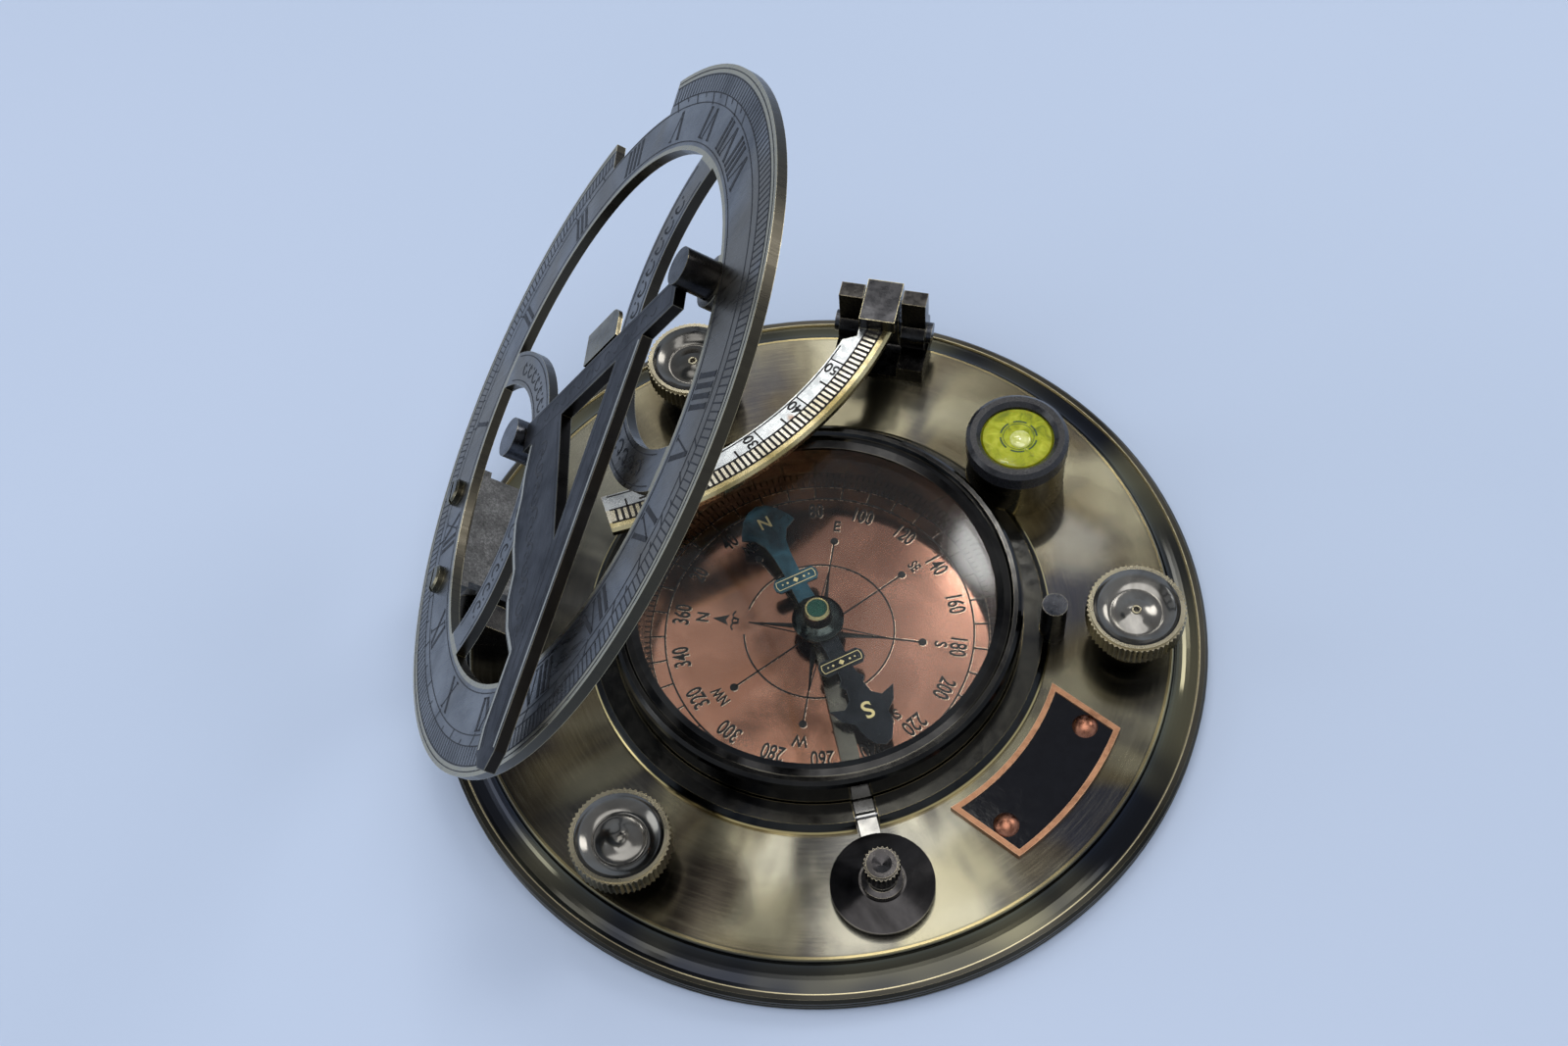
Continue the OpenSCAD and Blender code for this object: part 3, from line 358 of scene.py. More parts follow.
def ring_material():
    """Slate-dark antique brass in the ring's plane, with worn pale rims, blurred brush marks and painted
    shade on its side walls.
    """
    k = Kit("hour_ring_face")
    q = k.sub(k.mm(), RING_C)
    u, v, n = k.dot(q, U), k.dot(q, V), k.dot(q, N)
    r = k.radius(u, v)
    cloud = k.noise(k.join(u, v, k.mul(n, 0.2)), 0.07, 4, 0.6, 0.7)
    brush = k.noise(k.join(k.mul(u, 0.12), k.mul(v, 0.9), 0.0), 1.0, 6, 0.75)
    col = k.ramp(k.add(k.mul(cloud, 0.65), k.mul(brush, 0.35)),
                 [(0.36, (0.090, 0.091, 0.094)), (0.62, (0.25, 0.25, 0.25))])
    warm = k.noise(k.join(u, v, 7.0), 0.035, 3, 0.55, 0.5)
    col = k.mix(k.step(warm, 0.46, 0.62, 0.0, 0.6), col, (0.150, 0.120, 0.075))
    rim = k.math("MAXIMUM", k.step(r, 51.55, 51.75), k.band(r, 39.6, 40.6, 0.15))
    col = k.mix(k.mul(rim, k.step(brush, 0.2, 0.6, 0.55, 0.95)), col, (0.46, 0.41, 0.29))
    # Painted shade: the ring's side walls, between its two faces, are painted nearly black
    side = k.step(k.math("ABSOLUTE", n), 0.70, 0.745, 1.0, 0.0)
    col = k.mix(k.mul(side, 0.92), col, (0.030, 0.027, 0.022))
    k.set("Base Color", k.mix(k.mul(k.edge(0.16), 0.6), col, PALE_GOLD))
    k.bsdf.inputs["Specular Tint"].default_value = (0.90, 0.90, 0.90, 1)
    k.set("Roughness", k.step(brush, 0.25, 0.75, 0.22, 0.38))
    k.bump(brush, 0.16, 0.05)
    return k.mat


def gnomon_material():
    k = Kit("gnomon_face")
    q = k.sub(k.mm(), RING_C)
    u, v, n = k.dot(q, U), k.dot(q, V), k.dot(q, N)
    cloud = k.noise(k.join(u, v, 0.0), 0.10, 5, 0.65, 0.6)
    brush = k.noise(k.join(k.mul(u, 0.9), k.mul(v, 0.16), 0.0), 1.0, 6, 0.75)
    col = k.ramp(cloud, [(0.3, (0.030, 0.030, 0.033)), (0.66, (0.115, 0.114, 0.118))])
    # Painted shade: the gnomon's side walls, between its two faces, are painted nearly black
    side = k.step(k.math("ABSOLUTE", k.math("SUBTRACT", n, GNOMON_N)), 0.70, 0.77, 1.0, 0.0)
    col = k.mix(k.mul(side, 0.9), col, (0.020, 0.017, 0.014))
    col = k.mix(k.mul(k.edge(0.32), k.step(cloud, 0.25, 0.55, 0.35, 0.8)), col, (0.42, 0.38, 0.28))
    k.set("Base Color", col)
    k.bsdf.inputs["Specular Tint"].default_value = (0.60, 0.60, 0.60, 1)
    k.set("Roughness", k.step(brush, 0.25, 0.75, 0.24, 0.40))
    k.bump(k.add(brush, k.noise(q, 1.6, 3)), 0.2, 0.05)
    return k.mat


def arc_material():
    """Silvered number band with copper stains, dark ladder ground, gold outer bevel."""
    k = Kit("arc_scale")
    q = k.sub(k.mm(), ARC_C)
    x, y, z = k.xyz(q)
    r = k.radius(x, y)
    cloud = k.noise(q, 0.11, 3, 0.5, 0.6)
    stain = k.noise(k.sub(q, (40, 12, 0)), 0.085, 3, 0.5, 0.8)
    silver = k.ramp(cloud, [(0.3, (0.40, 0.42, 0.43)), (0.6, (0.62, 0.65, 0.66))])
    silver = k.mix(k.step(stain, 0.54, 0.60), silver, (0.34, 0.23, 0.17))
    ladder = k.mix(k.step(cloud, 0.35, 0.65), (0.50, 0.45, 0.32), (0.78, 0.75, 0.66))
    gold = k.mix(k.step(cloud, 0.35, 0.65), (0.30, 0.24, 0.10), (0.70, 0.60, 0.34))
    col = k.mix(k.step(r, 65.3, 65.4), silver, ladder)
    col = k.mix(k.step(r, 67.7, 67.9), col, gold)
    col = k.mix(k.step(z, 17.6, 18.1, 1.0, 0.0), col, (0.20, 0.165, 0.085))
    k.set("Base Color", k.mix(k.mul(k.edge(0.2), 0.5), col, PALE_GOLD))
    k.set("Roughness", k.step(k.noise(q, 0.6, 4, 0.7), 0.3, 0.7, 0.20, 0.32))
    k.bump(k.noise(q, 0.8, 3, 0.6), 0.03, 0.03)
    return k.mat


def screw_material(i):
    c = SCREWS[i]
    k = Kit("screw_head_%d" % (i + 1))
    q = k.sub(k.mm(), c)
    x, y, z = k.xyz(q)
    r = k.radius(x, y)
    cloud = k.noise(q, 0.16, 4, 0.6, 0.6)
    dark = k.ramp(cloud, [(0.3, (0.035, 0.032, 0.028)), (0.7, (0.15, 0.14, 0.115))])
    upper = k.step(z, 12.0, 12.6)
    rim = k.mul(k.step(z, 15.3, 15.7), k.step(r, 6.45, 6.8))
    col = k.mix(k.mul(k.step(r, 7.3, 7.7), upper), dark, (0.15, 0.135, 0.09))
    col = k.mix(k.mul(rim, 0.85), col, (0.40, 0.36, 0.26))
    col = k.mix(k.mul(k.edge(0.18), 0.5), col, PALE_GOLD)
    dish = k.mul(k.step(r, 6.3, 6.9, 1.0, 0.0), k.step(z, 13.6, 13.8))
    col = k.mix(dish, col, k.mix(cloud, (0.22, 0.21, 0.19), (0.42, 0.41, 0.38)))
    k.set("Base Color", col)
    k.set("Roughness", k.mix(dish, k.step(cloud, 0.3, 0.7, 0.22, 0.36), (0.09, 0.09, 0.09)))
    k.bump(lathe_lines(k, r, 4.0), 0.06, 0.02)
    return k.mat


def plate_material():
    k = Kit("nameplate_copper")
    x, y, _ = k.xyz(k.mm())
    r = k.radius(x, y)
    t = k.add(k.mul(x, -math.sin(PLATE_AZ)), k.mul(y, math.cos(PLATE_AZ)))
    cloud = k.noise(k.mm(), 0.5, 5, 0.7, 0.4)
    copper = k.ramp(cloud, [(0.3, (0.22, 0.105, 0.060)), (0.65, (0.48, 0.255, 0.145))])
    # The dark field inside the plate's copper frame
    inside = k.mul(k.band(r, 40.52, 51.08, 0.04), k.step(k.math("ABSOLUTE", t), 12.56, 12.6, 1.0, 0.0))
    col = k.mix(k.mul(k.edge(0.16), 0.7), copper, (0.80, 0.55, 0.36))
    k.set("Base Color", k.mix(inside, col, k.mix(cloud, (0.003, 0.003, 0.005), (0.009, 0.010, 0.014))))
    k.set("Metallic", k.math("SUBTRACT", 1.0, inside))
    k.bsdf.inputs["Specular IOR Level"].default_value = 0.2
    k.set("Roughness", k.mix(inside, k.step(cloud, 0.3, 0.7, 0.28, 0.5), (0.07, 0.07, 0.07)))
    k.bump(cloud, 0.25, 0.06)
    return k.mat


def copper_rivet():
    k = Kit("rivet_copper")
    cloud = k.noise(k.mm(), 0.9, 5, 0.7, 0.3)
    k.set("Base Color", k.ramp(cloud, [(0.3, (0.20, 0.075, 0.045)), (0.7, (0.52, 0.24, 0.15))]))
    k.set("Roughness", k.step(cloud, 0.3, 0.7, 0.2, 0.42))
    k.bump(cloud, 0.3, 0.12)
    return k.mat


def cast_grey():
    k = Kit("cast_grey", 0.55)
    p = k.mm()
    speck = k.noise(p, 2.4, 6, 0.85)
    cloud = k.noise(p, 0.35, 4, 0.6)
    mixed = k.add(k.mul(speck, 0.7), k.mul(cloud, 0.3))
    k.set("Base Color", k.ramp(mixed, [(0.36, (0.025, 0.024, 0.023)), (0.50, (0.095, 0.093, 0.090)),
                                       (0.64, (0.26, 0.255, 0.25))]))
    k.set("Roughness", k.step(speck, 0.3, 0.7, 0.42, 0.68))
    k.bump(mixed, 0.5, 0.18)
    return k.mat


def blued_steel():
    k = Kit("blued_needle")
    p = k.mm()
    cloud = k.noise(p, 0.22, 4, 0.6, 0.6)
    fine = k.noise(p, 3.0, 4, 0.7)
    along = k.dot(p, (math.cos(NEEDLE_AZ), math.sin(NEEDLE_AZ), 0))
    blue = k.ramp(cloud, [(0.3, (0.014, 0.030, 0.042)), (0.6, (0.034, 0.090, 0.125)),
                          (0.8, (0.07, 0.16, 0.21))])
    dark = k.ramp(cloud, [(0.3, (0.008, 0.009, 0.012)), (0.7, (0.022, 0.026, 0.032))])
    col = k.mix(k.step(along, -2.0, 8.0), dark, blue)
    k.set("Base Color", k.mix(k.mul(k.edge(0.12), 0.35), col, (0.16, 0.24, 0.28)))
    k.set("Roughness", k.step(fine, 0.3, 0.7, 0.26, 0.42))
    k.bump(fine, 0.2, 0.03)
    return k.mat


def cap_material():
    k = Kit("needle_cap_top")
    x, y, z = k.xyz(k.mm())
    r = k.radius(x, y)
    cloud = k.noise(k.mm(), 0.5, 3, 0.6)
    top = k.step(z, 9.2, 9.3)
    col = k.mix(k.step(cloud, 0.3, 0.7), (0.012, 0.016, 0.016), (0.055, 0.065, 0.062))
    col = k.mix(k.mul(top, k.step(r, 1.55, 1.7, 1.0, 0.0)), col, (0.035, 0.115, 0.085))
    col = k.mix(k.mul(k.step(z, 8.9, 9.0), k.band(r, 1.72, 2.3, 0.08)), col, (0.55, 0.45, 0.22))
    k.set("Base Color", k.mix(k.mul(k.edge(0.12), 0.6), col, (0.42, 0.38, 0.24)))
    k.set("Roughness", k.step(cloud, 0.3, 0.7, 0.10, 0.2))
    k.bump(lathe_lines(k, r, 5.0), 0.05, 0.02)
    return k.mat


def lever_material():
    """Steel lever: darker inside the bowl, brighter outside it."""
    k = Kit("lever_steel")
    x, y, _ = k.xyz(k.mm())
    r = k.radius(x, y)
    n = k.noise(k.mm(), 0.4, 4, 0.6)
    inside_steel = k.mix(n, (0.07, 0.064, 0.055), (0.16, 0.15, 0.13))
    outside_steel = k.mix(n, (0.30, 0.295, 0.28), (0.46, 0.455, 0.44))
    k.set("Base Color", k.mix(k.step(r, 31.0, 36.0), inside_steel, outside_steel))
    k.set("Roughness", k.step(n, 0.3, 0.7, 0.16, 0.28))
    k.bump(n, 0.1, 0.03)
    return k.mat


def clear_glass():
    """Thin clear glass: see-through, with a mirror share that grows at a grazing angle on both faces."""
    k = Kit("clear_glass")
    clear = k.tree.nodes.new("ShaderNodeBsdfTransparent")
    clear.inputs[0].default_value = (0.97, 0.985, 0.98, 1)
    gloss = k.tree.nodes.new("ShaderNodeBsdfGlossy")
    gloss.inputs["Roughness"].default_value = 0.06
    facing = k.node("LayerWeight", 0.5, out=1)
    share = k.step(k.math("POWER", facing, 5.0), 0.0, 1.0, 0.022, 0.8)
    k.blend(share, clear.outputs[0], gloss.outputs[0])
    k.tree.nodes.remove(k.bsdf)
    return k.mat


def vial_material():
    k = Kit("vial_liquid", 0.0, 0.06)
    p = k.sub(k.mm(), BUBBLE)
    x, y, _ = k.xyz(p)
    r = k.radius(x, y)
    cloud = k.noise(p, 0.35, 4, 0.6, 1.2)
    col = k.ramp(cloud, [(0.32, (0.18, 0.22, 0.003)), (0.5, (0.38, 0.41, 0.006)), (0.72, (0.58, 0.60, 0.05))])
    # Painted shade: the liquid is painted a darker olive towards the vial's edge
    k.set("Base Color", k.mix(k.step(r, 4.6, 6.4, 0.0, 0.75), col, (0.30, 0.31, 0.006)))
    k.bsdf.inputs["Coat Weight"].default_value = 0.4
    k.bsdf.inputs["Coat Roughness"].default_value = 0.03
    k.bsdf.inputs["Subsurface Weight"].default_value = 0.25
    k.bsdf.inputs["Subsurface Scale"].default_value = 0.002
    k.bump(cloud, 0.08, 0.2)
    return k.mat


def black_plastic():
    k = Kit("black_plastic", 0.0)
    p = k.mm()
    n = k.noise(p, 1.2, 4, 0.6)
    body = k.mix(n, (0.010, 0.010, 0.012), (0.022, 0.022, 0.025))
    k.set("Base Color", k.mix(k.edge(0.3), body, (0.06, 0.06, 0.065)))
    k.set("Roughness", k.step(n, 0.3, 0.7, 0.20, 0.34))
    k.bump(n, 0.1, 0.04)
    return k.mat


def ink(name, colour, rough=0.5, metallic=0.3, spread=0.6):
    """Filling of an engraved line: nearly one colour, with a little unevenness."""
    k = Kit(name, metallic)
    n = k.noise(k.mm(), 1.3, 4, 0.7)
    lighter = tuple(min(1, c * 2.2 + 0.01) for c in colour)
    k.set("Base Color", k.mix(k.step(n, 0.3, 0.75, 0.0, spread), colour, lighter))
    k.set("Roughness", k.step(n, 0.3, 0.7, rough - 0.08, rough + 0.1))
    return k.mat


AT_LIFTER = (LIFTER.x, LIFTER.y)
AT_BUBBLE = (BUBBLE.x, BUBBLE.y)
steel = antique("pin_steel", (0.16, 0.16, 0.17), (0.42, 0.42, 0.44), (0.7, 0.7, 0.7), (0.2, 0.35), 0.3)
black = antique("black_brass", (0.008, 0.008, 0.010), (0.040, 0.038, 0.036), (0.30, 0.26, 0.17), (0.16, 0.34),
                0.14, 0.3, 0.75)
slate = antique("slate_brass", (0.020, 0.022, 0.028), (0.085, 0.088, 0.098), (0.34, 0.31, 0.24), (0.2, 0.36),
                0.14)
bright = antique("bright_brass", (0.30, 0.26, 0.16), (0.62, 0.56, 0.42), (0.8, 0.74, 0.58), (0.14, 0.28),
                 0.12)
knuckle = antique("knuckle_slate", (0.018, 0.018, 0.020), (0.060, 0.060, 0.064), (0.75, 0.66, 0.40),
                  (0.16, 0.3), 0.12, 0.3, 0.9)
screw_bronze = antique("screw_bronze", (0.030, 0.028, 0.022), (0.13, 0.12, 0.085), (0.40, 0.36, 0.24),
                       (0.2, 0.36), 0.3)
olive = antique("olive_brass", (0.07, 0.06, 0.038), (0.24, 0.21, 0.14), (0.62, 0.52, 0.30), (0.16, 0.34),
                0.10)

# One material for each node of the CAD part
MATS = {
    "base_plate": base_material(),
    "collar_ring": turned("collar_dark", (0.010, 0.011, 0.013), (0.040, 0.039, 0.034), [(37.8, 38.0)],
                          wear=0.5),
    "compass_bowl": turned("bowl_brass", (0.05, 0.04, 0.025), (0.16, 0.13, 0.07), lines=1.5),
    "bowl_nut": turned("nut_brass", (0.20, 0.16, 0.08), (0.42, 0.35, 0.19)),
    "compass_dial": copper_dial(),
    "pivot_pin": steel,
    "bezel": turned("bezel_bronze", (0.010, 0.010, 0.011), (0.045, 0.044, 0.042), (), (0.08, 0.16), wear=0.45,
                    gold=(0.42, 0.39, 0.30)),
    "glass": clear_glass(),
    "bubble_vial": vial_material(),
    "bubble_cap": black_plastic(),
    "bubble_holder": turned("holder_brass", (0.10, 0.08, 0.045), (0.42, 0.37, 0.24), (), (0.14, 0.28),
                            AT_BUBBLE),
    "nameplate": plate_material(),
    "nameplate_rivets": copper_rivet(),
    "rest_pin": slate,
    "levelling_bushes": black,
    "ring_bracket": black,
    "ring_hinge_pin": slate,
    "ring_leaf": cast_grey(),
    "ring_screws": screw_bronze,
    "hour_ring": ring_material(),
    "gnomon_post_inner": slate,
    "gnomon_post_outer": black,
    "gnomon_catch": olive,
    "gnomon_plate": gnomon_material(),
    "arc_bracket": black,
    "arc_hinge_pin": slate,
    "arc_knuckle": knuckle,
    "latitude_arc": arc_material(),
    "needle_blade": blued_steel(),
    "needle_cap": cap_material(),
    "lift_washer": bright,
    "lifter_bush": black,
    "lifter_lever": lever_material(),
    "lever_pin": steel,
    "lifter_disc": turned("lifter_disc_gunmetal", (0.016, 0.015, 0.015), (0.055, 0.052, 0.052), (),
                          (0.14, 0.24), AT_LIFTER, 0.3, 0.35, (0.30, 0.27, 0.24), 3.0, 0.3),
    "lifter_knob": turned("lifter_knob_gunmetal", (0.024, 0.022, 0.022), (0.085, 0.080, 0.080), (),
                          (0.2, 0.34), AT_LIFTER, 0.2, 0.7, (0.45, 0.40, 0.28), 4.0, 0.3),
}
for i in range(3):
    MATS["levelling_screw_%d" % (i + 1)] = screw_material(i)
    MATS["levelling_foot_%d" % (i + 1)] = olive
for name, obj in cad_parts.items():
    obj.data.materials.clear()
    obj.data.materials.append(MATS[name])


# Flat art: engraved lines, ticks and figures laid in a plane on a CAD face
def glyphs(text, size, weight):
    data = bpy.data.curves.new("glyphs", "FONT")
    data.body = text
    data.size = size
    data.align_x = "CENTER"
    data.align_y = "CENTER"
    data.resolution_u = 4
    data.offset = weight
    obj = bpy.data.objects.new("glyphs", data)
    bpy.context.scene.collection.objects.link(obj)
    dg = bpy.context.evaluated_depsgraph_get()
    mesh = bpy.data.meshes.new_from_object(obj.evaluated_get(dg))
    verts = [(v.co.x, v.co.y) for v in mesh.vertices]
    faces = [tuple(p.vertices) for p in mesh.polygons]
    bpy.data.objects.remove(obj)
    bpy.data.curves.remove(data)
    bpy.data.meshes.remove(mesh)
    return verts, faces


class Art:
    """Flat figures in mm on one plane of a body, gathered and built as one piece."""
    def __init__(self, name, body, mat, slot, origin=(0, 0, 0), ex=(1, 0, 0), ey=(0, 1, 0)):
        self.name, self.body, self.mat, self.slot = name, body, mat, slot
        self.o, self.ex, self.ey = Vector(origin), Vector(ex), Vector(ey)
        self.v, self.f = [], []

    def poly(self, pts):
        i = len(self.v)
        self.v += [tuple(p) for p in pts]
        self.f.append(tuple(range(i, i + len(pts))))

    def line(self, a, b, w):
        a, b = Vector(a), Vector(b)
        d = (b - a).normalized() * (w / 2)
        s = Vector((-d.y, d.x))
        self.poly([a - s, b - s, b + s, a + s])

    def path(self, pts, w, closed=False):
        n = len(pts)
        for i in range(n if closed else n - 1):
            self.line(pts[i], pts[(i + 1) % n], w)

    def arc(self, c, r, w, a0=0.0, a1=360.0, n=None):
        n = n or max(6, int(abs(a1 - a0) / 3))
        inner, outer = r - w / 2, r + w / 2
        for i in range(n):
            t = [(a0 + (a1 - a0) * j / n) * D for j in (i, i + 1)]
            self.poly([(c[0] + rr * math.cos(q), c[1] + rr * math.sin(q))
                       for rr, q in ((inner, t[0]), (outer, t[0]), (outer, t[1]), (inner, t[1]))])

    def disc(self, c, r, n=20):
        self.poly([(c[0] + r * math.cos(2 * math.pi * i / n), c[1] + r * math.sin(2 * math.pi * i / n))
                   for i in range(n)])

    def tick(self, az, r0, r1, w):
        d = Vector((math.cos(az * D), math.sin(az * D)))
        self.line(d * r0, d * r1, w)

    def text(self, s, at, size, turn, squeeze, weight):
        verts, faces = glyphs(s, size, weight)
        i = len(self.v)
        ca, sa = math.cos(turn * D), math.sin(turn * D)
        for x, y in verts:
            x *= squeeze
            self.v.append((at[0] + x * ca - y * sa, at[1] + x * sa + y * ca))
        self.f += [tuple(i + j for j in f) for f in faces]

    def roman(self, s, at, h, turn):
        widths = {"I": 0.30, "V": 0.78, "X": 0.74}
        total = sum(widths[c] * h for c in s)
        x = -total / 2
        ca, sa = math.cos(turn * D), math.sin(turn * D)

        def place(px, py):
            return (at[0] + px * ca - py * sa, at[1] + px * sa + py * ca)

        thick, thin, serif = 0.16 * h, 0.055 * h, 0.1 * h
        foot, top = -h / 2, h / 2
        for c in s:
            w = widths[c] * h
            m = x + w / 2
            left, right = m - w * 0.38, m + w * 0.38
            if c == "I":
                strokes = [((m, foot), (m, top), thick)]
                serifs = [(m, top), (m, foot)]
            elif c == "V":
                strokes = [((left, top), (m, foot), thick), ((right, top), (m, foot), thin)]
                serifs = [(left, top), (right, top)]
            else:
                strokes = [((left, top), (right, foot), thick), ((right, top), (left, foot), thin)]
                serifs = [(side, end) for side in (left, right) for end in (foot, top)]
            for a, b, t in strokes:
                self.line(place(*a), place(*b), t)
            for sx, sy in serifs:
                self.line(place(sx - serif, sy), place(sx + serif, sy), thin)
            x += w

    def build(self):
        mesh = bpy.data.meshes.new(self.name)
        pts = [(self.o + self.ex * x + self.ey * y) * MM for x, y in self.v]
        mesh.from_pydata(pts, [], self.f)
        mesh.materials.append(self.mat)
        obj = bpy.data.objects.new(self.name, mesh)
        bpy.context.scene.collection.objects.link(obj)
        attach(obj, self.body)


dark_ink = ink("dark_line", (0.005, 0.004, 0.004))
gold_ink = ink("gold_line", (0.66, 0.53, 0.26), 0.35, 0.9, 0.2)
worn_ink = ink("worn_edge", (0.33, 0.31, 0.25), 0.32, 0.9, 0.3)
# Painted highlight: bright copper lines laid beside engraved marks stand for light catching their edges
highlight_paint = ink("highlight_paint", (0.68, 0.46, 0.35), 0.25, 1.0, 0.2)


def polar(r, az):
    return Vector((r * math.cos(az * D), r * math.sin(az * D)))


def dial_art():
    art = Art("dial_engraving", "base", dark_ink, "copper", (0, 0, DIAL_TOP + 0.08))
    # Painted highlight: a bright copy of the engraving, shifted a little to one side and laid just under it
    painted_glint = Art("dial_engraving_glint", "base", highlight_paint, "copper", (0, 0, DIAL_TOP + 0.04))
    shift = Vector((0.13, -0.12))

    def az(bearing):
        return 180 - bearing + DIAL_TURN

    def label(s, r, b, size, squeeze):
        for layer, off in ((art, Vector((0, 0))), (painted_glint, shift)):
            layer.text(s, polar(r, az(b)) + off, size, az(b) - 90, squeeze, 0.06)

    def ring(r, w, a0=0.0, a1=360.0):
        art.arc((0, 0), r, w, a0, a1, 150)
        painted_glint.arc(shift, r, 0.7 * w, a0, a1, 150)

    inner, outer, edge = 25.7, 28.15, 29.2
    ring(inner, 0.28)
    ring(outer, 0.2)
    for b in range(0, 360, 2):
        art.tick(az(b), outer, edge, 0.2)
    for b in range(0, 360, 10):
        art.tick(az(b), inner, outer, 0.24)
        painted_glint.tick(az(b) + 0.35, inner, 28.1, 0.14)
    for b in range(20, 361, 20):
        label(str(b), 23.1, b, 3.9, 0.66)
    ring(12.5, 0.28, az(0) + 11, az(0) + 349)
    for b in range(45, 360, 45):
        art.tick(az(b), 4.0, 17.0, 0.26)
        painted_glint.tick(az(b) + 0.6, 4.0, 16.8, 0.14)
        art.disc(polar(17.3, az(b)), 0.68)
        painted_glint.disc(polar(17.3, az(b)) + shift, 0.68)
    # The rose's four points, each with one half filled
    for b in range(0, 360, 90):
        a = az(b)
        tip, foot = polar(11.9, a), polar(3.3, a)
        left, right = polar(3.3, a + 16), polar(3.3, a - 16)
        art.poly([tip, foot, right])
        art.line(tip, left, 0.16)
        art.line(tip, foot, 0.13)
    for b, s in ((90, "E"), (180, "S"), (270, "W"), (0, "N")):
        label(s, 20.2 if b else 19.6, b, 2.9, 0.85)
    for b, s in ((45, "NE"), (135, "SE"), (225, "SW"), (315, "NW")):
        label(s, 19.9, b, 2.6, 0.7)
    # A small lily at north
    a = az(0)
    art.poly([polar(18.0, a), polar(15.3, a + 3.6), polar(15.8, a), polar(15.3, a - 3.6)])
    for side in (-1, 1):
        art.arc(polar(14.0, a + side * 4.4), 0.75, 0.26, a - side * 120, a + side * 60)
    art.arc(polar(14.2, a), 0.5, 0.26)
    art.build()
    painted_glint.build()


def notch(az):
    return 71 < az % 360 < 94


def hour_line(t, radius):
    """Where the hour line at angle t, drawn from the gnomon's foot, meets a circle of the ring."""
    d = Vector((-math.cos(t * D), math.sin(t * D)))
    foot = Vector((30.0, 0.0))
    b = foot.dot(d)
    return foot + d * (math.sqrt(b * b - foot.dot(foot) + radius ** 2) - b)


def ring_art():
    o = RING_C + N * (RING_FACE + 0.03)
    art = Art("ring_engraving", "hour_ring", dark_ink, "ring", o, U, V)
    start, end = 94.4, 430.6
    ladder_in, ladder_out, hours_in, hours_out = 48.75, 51.5, 41.3, 47.2
    for r, w in ((52.3, 0.16), (ladder_out, 0.2), (ladder_in, 0.18)):
        art.arc((0, 0), r, w, start, end, 220)
    art.arc((0, 0), hours_out, 0.17, 0, 360, 220)
    art.arc((0, 0), hours_in, 0.17, 0, 360, 200)
    for i in range(288):
        az = i * 1.25
        if not notch(az - 0.2) and not notch(az + 0.2):
            art.tick(az, ladder_in, ladder_out, 0.21)
    after = ["I", "II", "III", "IIII", "V", "VI", "VII", "VIII"]
    before = ["XI", "X", "IX", "VIII", "VII", "VI", "V", "IIII"]
    hours = [("XII", 180.0)]
    for h in range(8):
        q = hour_line(15.0 * (h + 1), 44.2)
        az = math.degrees(math.atan2(q.y, q.x))
        hours += [(after[h], az), (before[h], -az)]
    for label, az in hours:
        art.roman(label, polar(44.25, az), 4.6, az + 90)
    # Quarter hours outside the numerals: the hours start furthest in, then the halves
    for q in range(31):
        t = 3.75 * q
        begin = 46.9 if q % 4 == 0 else hours_out if q % 2 == 0 else 48.0
        for side in (1, -1):
            a, b = [Vector((e.x, e.y * side)) for e in (hour_line(t, begin), hour_line(t, ladder_in))]
            if not notch(math.degrees(math.atan2(b.y, b.x))):
                art.line(a, b, 0.22)
    # Scrolled leaf ornament on the cross arms
    for side in (-1, 1):
        c = (39.0 * side, 0.0)
        mid = 0 if side < 0 else 180
        for rr in (23.7, 27.9):
            art.arc(c, rr, 0.18, mid - 68, mid + 68, 60)
        for k in range(-8, 9):
            if abs(k) < 2 and side < 0:
                continue
            a = mid + k * 7.0
            q = Vector(c) + polar(25.8, a)
            art.arc(q, 1.1, 0.34, a + 40, a + 250, 10)
            art.arc(q + polar(0.6, a + 90), 0.5, 0.26, a - 60, a + 160, 8)
            art.disc(q + polar(1.3, a - 60), 0.24, 8)
    art.build()


def arc_art():
    o = Vector((ARC_C.x, ARC_C.y, ARC_TOP + 0.05))
    art = Art("arc_engraving", "latitude_arc", dark_ink, "arc", o)
    start, corner, hinge = -70.2, -24.6, -18.4

    def az(deg):
        return -72.0 + 0.89 * deg

    inner, ladder_in, ladder_out = 62.75, 65.35, 67.8
    for r, w, end in ((inner, 0.2, corner), (ladder_in, 0.26, hinge), (ladder_out, 0.3, hinge)):
        art.arc((0, 0), r, w, start, end, 80)
    for d in range(3, 60):
        art.tick(az(d), ladder_in, ladder_out, 0.46)
    for d in range(5, 55, 5):
        is_ten = d % 10 == 0
        art.tick(az(d), inner if is_ten else 63.9, 65.4, 0.26 if is_ten else 0.34)
    for d in range(10, 60, 10):
        a = az(d) - 1.5
        art.text(str(d), polar(64.05, a), 2.85, a + 180, 0.84, 0.05)
    art.build()


